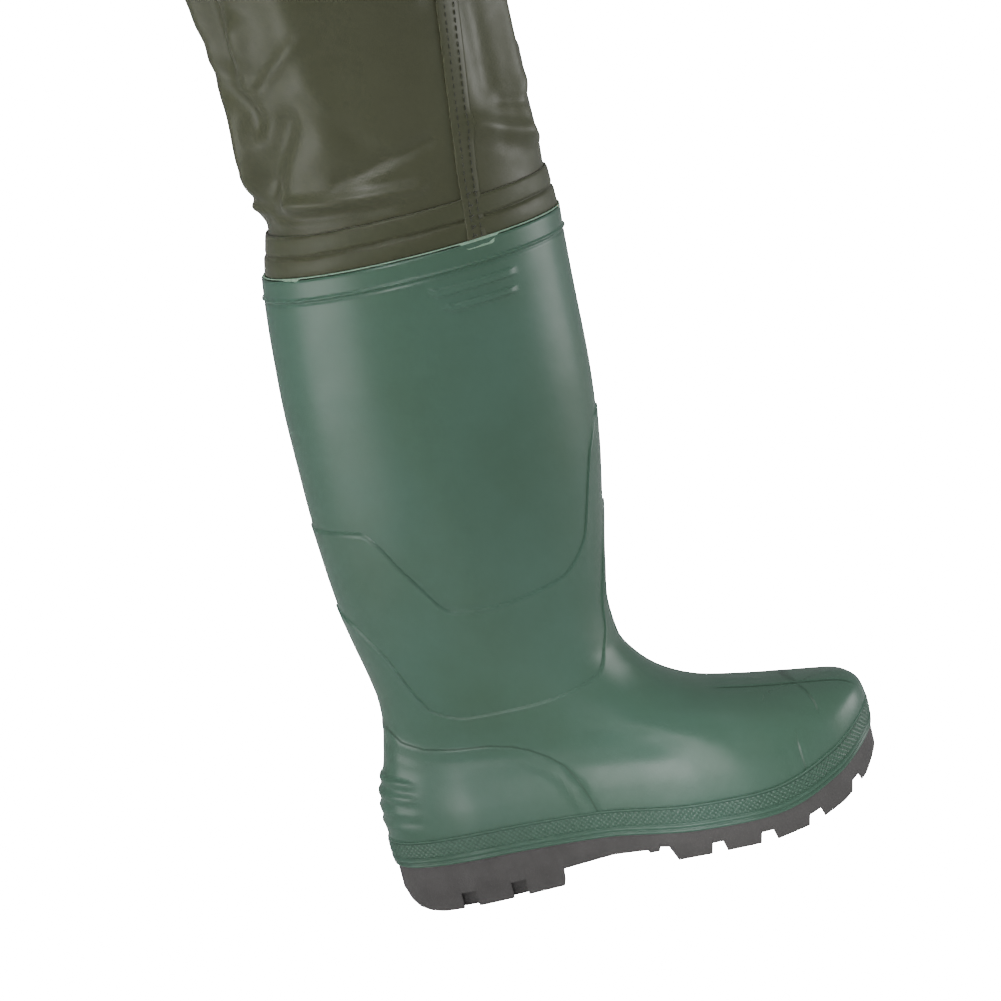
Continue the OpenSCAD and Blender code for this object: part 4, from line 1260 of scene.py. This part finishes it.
braces = {
    "width": 40, "thick": 1.8, "chest": (96.6, -138.9), "chestTurn": 17.5, "foot": 1296, "lift": 2.6,
    # middle line of the left brace: position, share of the chest's turn, share of the crossing lift
    "line": [(96.6, -138.9, 1388, 1, 0), (96.6, -138.9, 1442, 1, 0), (95, -134.6, 1458, 0.9, 0),
             (92.2, -123, 1474, 0.6, 0), (89, -104, 1487, 0.3, 0), (86, -78, 1496, 0.1, 0),
             (83, -46, 1500.2, 0, 0), (81, -12, 1500.9, 0, 0), (79, 20, 1500.2, 0, 0),
             (76, 52, 1494, 0, 0), (72, 80, 1483, 0, 0), (66, 105, 1465, 0, 0),
             (58, 125, 1441, 0, 0), (47, 139, 1413, 0, 0.3), (32, 147, 1385, 0, 0.8),
             (15, 151, 1357, 0, 1), (0, 152.4, 1332, 0, 1), (-15, 152.6, 1307, 0.1, 1),
             (-30, 151, 1281, 0.25, 0.8), (-43, 149.4, 1256, 0.4, 0.3),
             (-53, 147.8, 1230, 0.5, 0), (-61, 146.6, 1200, 0.57, 0)],
}


# A flat band along a path: middle points and the direction across it
def bandPiece(name, centres, across, width, thick, material, flip=False):
    along = np.gradient(centres, axis=0)
    along /= np.linalg.norm(along, axis=1, keepdims=True)
    across = across - along * (across * along).sum(1, keepdims=True)
    across /= np.linalg.norm(across, axis=1, keepdims=True)
    out = np.cross(across, along)
    half, t = width / 2, thick / 2
    outline = [(-half, -0.4 * t), (-half + 0.5, -t)] \
        + [(x, -t) for x in np.linspace(-half + 3, half - 3, 8)] \
        + [(half - 0.5, -t), (half, -0.4 * t), (half, 0.4 * t), (half - 0.5, t)] \
        + [(x, t) for x in np.linspace(half - 3, -half + 3, 8)] + [(-half + 0.5, t), (-half, 0.4 * t)]
    rings = np.stack([centres + across * x + out * y for x, y in outline], 1)
    piece = gridPiece(name, rings, material, flip=flip)
    choose(piece)
    bpy.ops.object.mode_set(mode="EDIT")
    bpy.ops.mesh.select_all(action="DESELECT")
    bpy.ops.mesh.select_non_manifold()
    bpy.ops.mesh.edge_face_add()
    bpy.ops.mesh.select_all(action="SELECT")
    bpy.ops.mesh.normals_make_consistent(inside=False)
    bpy.ops.object.mode_set(mode="OBJECT")
    return piece, out


def buildBraces(spec):
    line = np.array(spec["line"])
    steps = np.linspace(0, len(line) - 1, 260)
    fine = np.stack([through(np.arange(len(line)), line[:, k], steps) for k in range(5)], 1)
    for name, sign in sides.items():
        centres = fine[:, :3].copy()
        centres[:, 1] += spec["lift"] * fine[:, 4] * (sign > 0)
        along = np.gradient(centres, axis=0)
        flat = np.cross(along, np.stack([along[:, 0] * 0, -along[:, 2], along[:, 1]], 1))
        flat /= np.linalg.norm(flat, axis=1, keepdims=True)
        yaw = np.radians(spec["chestTurn"] * fine[:, 3])
        across = np.stack([flat[:, 0] * np.cos(yaw) - flat[:, 1] * np.sin(yaw),
                           flat[:, 0] * np.sin(yaw) + flat[:, 1] * np.cos(yaw), flat[:, 2]], 1)
        mirror = np.array([sign, 1, 1])
        band, _ = bandPiece(f"{name}Brace", centres * mirror, across * mirror, spec["width"],
                            spec["thick"], webbing)
        ridesOn(band, "trunk", "brace_webbing", f"{name}_brace")


# Points and directions in a buckle's own space: across, outward and up from the socket's foot
def atBuckle(sign, across, outward, up):
    turn = math.radians(braces["chestTurn"])
    x = braces["chest"][0] + across * math.cos(turn) + outward * math.sin(turn)
    y = braces["chest"][1] + across * math.sin(turn) - outward * math.cos(turn)
    return np.stack(np.broadcast_arrays(sign * x, y, braces["foot"] + up), -1)


def foldedBand(name, sign, outward, up, body, *nodes):
    outward, up = np.array(outward, float), np.array(up, float)
    across = atBuckle(sign, 1.0, 0, 0) - atBuckle(sign, 0.0, 0, 0)
    band, _ = bandPiece(name, atBuckle(sign, 0, outward, up), np.tile(across, (len(up), 1)), 39.6,
                        braces["thick"], webbing)
    ridesOn(band, body, "brace_webbing", *nodes)
    return band


# A box of stitches with a cross in it, on the outer face of a folded band
def boxStitches(name, sign, low, high, outward, body, half=15.5):
    corners = [(-half, low), (half, low), (half, high), (-half, high), (-half, low), (half, high)]
    lines = []
    across = [corners, [(half, low), (-half, high)]]
    for path in across:
        for (x0, z0), (x1, z1) in zip(path[:-1], path[1:]):
            x, z = np.linspace(x0, x1, 16), np.linspace(z0, z1, 16)
            points = atBuckle(sign, x, outward, z)
            out = atBuckle(sign, 0, 1.0, 0) - atBuckle(sign, 0, 0.0, 0)
            lines.append((points, np.tile(out, (16, 1))))
    ridesOn(stitchPiece(name, lines, length=2.8, gap=1.2, thick=0.4), body, "brace_webbing")


def bend(centre, radius, first, last, count=12):
    angle = np.radians(np.linspace(first, last, count))
    return radius * np.cos(angle), centre + radius * np.sin(angle)


def buildFoldedBands():
    for name, sign in sides.items():
        curveOut, curveUp = bend(3.4, 2.2, 180, 0)
        outward = np.concatenate([[-2.2] * 24, curveOut, [2.2] * 16])
        up = np.concatenate([np.linspace(-56, 2.6, 24), curveUp, np.linspace(2.6, -34, 16)])
        foldedBand(f"{name}BraceTab", sign, outward, up, "trunk", f"{name}_brace_tab")
        boxStitches(f"{name}BraceTabStitches", sign, -32, -8, 3.15, "trunk")
        curveOut, curveUp = bend(56.6, 2.2, 180, 360)
        outward = np.concatenate([[-2.2] * 20, curveOut, [2.2] * 20])
        up = np.concatenate([np.linspace(112, 57.4, 20), curveUp, np.linspace(57.4, 112, 20)])
        foldedBand(f"{name}BraceLoop", sign, outward, up, f"{name}_plug", f"{name}_brace_loop")
        boxStitches(f"{name}BraceLoopStitches", sign, 105.5, 111, 3.15, f"{name}_plug", 16)


# Moulded parts keep the frame's shapes: a copy is merged, cleaned and gets its edges rounded
def mouldedCopy(node, name, material, body, slot, radius=0.6):
    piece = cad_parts[node].copy()
    piece.data = piece.data.copy()
    piece.parent = None
    piece.matrix_world = Matrix.Identity(4)
    for key in list(piece.keys()):
        del piece[key]
    piece.name = name
    piece.data.name = name
    bpy.context.collection.objects.link(piece)
    piece.data.materials.clear()
    piece.data.materials.append(material)
    choose(piece)
    bpy.ops.object.mode_set(mode="EDIT")
    bpy.ops.mesh.select_all(action="SELECT")
    bpy.ops.mesh.remove_doubles(threshold=0.00002)
    bpy.ops.mesh.dissolve_limited(angle_limit=math.radians(1))
    bpy.ops.object.mode_set(mode="OBJECT")
    applyModifier(piece, "BEVEL", width=radius * mm, segments=3, limit_method="ANGLE",
                  angle_limit=math.radians(32), harden_normals=False)
    bpy.ops.object.shade_smooth_by_angle(angle=math.radians(35))
    ridesOn(piece, body, slot, node)
    return piece


# Acetal, moulded with a fine spark texture: satin black with soft glints on the edges
def mouldedAcetal():
    material = newMaterial("moulded acetal", "#1f2022", 0.42, IOR=1.48)
    where = addNode(material, "TexCoord").outputs["Object"]
    grain = addNode(material, "TexNoise", {"Scale": 1500.0, "Detail": 2.0}, {"Vector": where})
    tone = addNode(material, "Mix", {6: linear("#1b1c1e"), 7: linear("#2a2b2e")},
                   {0: grain.outputs[0]}, data_type="RGBA")
    intoShader(material, "Base Color", tone.outputs[2])
    bump = addNode(material, "Bump", {"Strength": 0.2, "Distance": 0.0003}, {"Height": grain.outputs[0]})
    intoShader(material, "Normal", bump.outputs[0])
    return material


# Hook-and-loop tape: a nap of nylon loops, drawn 1.2 mm apart
def hookTape():
    material = newMaterial("hook and loop nylon", "#1e1f1d", 0.95, Sheen_Weight=0.6)
    where = addNode(material, "TexCoord").outputs["Object"]
    nap = addNode(material, "TexVoronoi", {"Scale": 830.0}, {"Vector": where})
    tone = addNode(material, "Mix", {6: linear("#30322e"), 7: linear("#141513")},
                   {0: nap.outputs["Distance"]}, data_type="RGBA")
    intoShader(material, "Base Color", tone.outputs[2])
    bump = addNode(material, "Bump", {"Strength": 0.9, "Distance": 0.0008},
                   {"Height": nap.outputs["Distance"]}, invert=True)
    intoShader(material, "Normal", bump.outputs[0])
    return material


acetal, hooks = mouldedAcetal(), hookTape()
buildBraces(braces)
buildFoldedBands()
for name in sides:
    mouldedCopy(f"{name}_brace_socket", f"{name}BuckleSocket", acetal, "trunk", "buckle_plastic")
    mouldedCopy(f"{name}_brace_plug", f"{name}BucklePlug", acetal, f"{name}_plug", "buckle_plastic")
    mouldedCopy(f"{name}_adjuster", f"{name}BraceSlider", acetal, f"{name}_slider", "buckle_plastic")
    for arm in ("outer", "inner"):
        mouldedCopy(f"{name}_plug_{arm}_arm", f"{name}{arm.title()}Arm", acetal, f"{name}_{arm}_arm",
                    "buckle_plastic", 0.7)
mouldedCopy("pocket_hook_tape", "pocketHookTape", hooks, "flap", "hook_tape", 0.2)
mouldedCopy("pocket_loop_tape", "pocketLoopTape", hooks, "trunk", "hook_tape", 0.2)
print("braces and buckles are made")


# A six-sided patch sewn where the braces cross, and one over each brace's end
def buildPatches():
    patch = {"y": 157.4, "height": 1332, "radius": 27, "thick": 2}
    bpy.ops.object.select_all(action="DESELECT")
    centre = (0, patch["y"] * mm, (patch["height"] - shoulderHeight) * mm)
    bpy.ops.mesh.primitive_cylinder_add(vertices=6, radius=patch["radius"] * mm,
                                        depth=patch["thick"] * mm, location=centre,
                                        rotation=(math.radians(90), math.radians(30), 0))
    piece = bpy.context.object
    piece.name = "braceCrossPatch"
    bpy.ops.object.transform_apply(location=True, rotation=True, scale=True)
    bpy.ops.object.mode_set(mode="EDIT")
    bpy.ops.mesh.select_all(action="SELECT")
    bpy.ops.mesh.bevel(offset=3 * mm, segments=4, affect="EDGES")
    bpy.ops.object.mode_set(mode="OBJECT")
    bpy.ops.object.shade_smooth_by_angle(angle=math.radians(40))
    piece.data.materials.append(leather)
    ridesOn(piece, "trunk", "brace_patch", "brace_cross_patch")
    corners = [(21.5 * math.sin(math.radians(a)), 21.5 * math.cos(math.radians(a)))
               for a in range(0, 361, 60)]
    lines = []
    for (x0, z0), (x1, z1) in zip(corners[:-1], corners[1:]):
        x, z = np.linspace(x0, x1, 12), np.linspace(z0, z1, 12) + patch["height"]
        lines.append((np.stack([x, np.full(12, patch["y"] + 1.1), z], 1), np.tile([0, 1.0, 0], (12, 1))))
    ridesOn(stitchPiece("braceCrossPatchStitches", lines, thick=0.4), "trunk", "brace_patch")
    for name, sign in sides.items():
        turn0, turn1 = sorted((sign * 155.4, sign * 173.6))
        anchor, _ = trunkStrip(f"{name}BackAnchor", turn0, turn1, 30, 1190.5, 1237.5, 7.9, cloth,
                               7.0, 22, 0.3)
        applyModifier(anchor, "SOLIDIFY", thickness=0.0006, offset=-1)
        ridesOn(anchor, "trunk", "coated_fabric", f"{name}_back_anchor")
        a, b = sorted((sign * 158, sign * 171))
        box = [(a, 1196), (b, 1196), (b, 1232), (a, 1232), (a, 1196)]
        lines = [sewnLine(np.linspace(t0, t1, 24), np.linspace(h0, h1, 24), 8.2)
                 for (t0, h0), (t1, h1) in zip(box[:-1], box[1:])]
        lines.append(sewnLine(np.linspace(a, b, 24), np.linspace(1196, 1232, 24), 8.3))
        lines.append(sewnLine(np.linspace(b, a, 24), np.linspace(1196, 1232, 24), 8.3))
        ridesOn(stitchPiece(f"{name}BackAnchorStitches", lines), "trunk", "coated_fabric")


# Split leather board, black, with a pebbled grain 1.4 mm wide
def pebbledLeather():
    material = newMaterial("pebbled leather", "#1d1b1a", 0.55, Coat_Weight=0.15)
    where = addNode(material, "TexCoord").outputs["Object"]
    pebbles = addNode(material, "TexVoronoi", {"Scale": 700.0}, {"Vector": where}, feature="SMOOTH_F1")
    tone = addNode(material, "Mix", {6: linear("#2b2826"), 7: linear("#151413")},
                   {0: pebbles.outputs["Distance"]}, data_type="RGBA")
    intoShader(material, "Base Color", tone.outputs[2])
    bump = addNode(material, "Bump", {"Strength": 0.6, "Distance": 0.0006},
                   {"Height": pebbles.outputs["Distance"]}, invert=True)
    intoShader(material, "Normal", bump.outputs[0])
    return material


leather = pebbledLeather()
buildPatches()
print("patches are sewn")
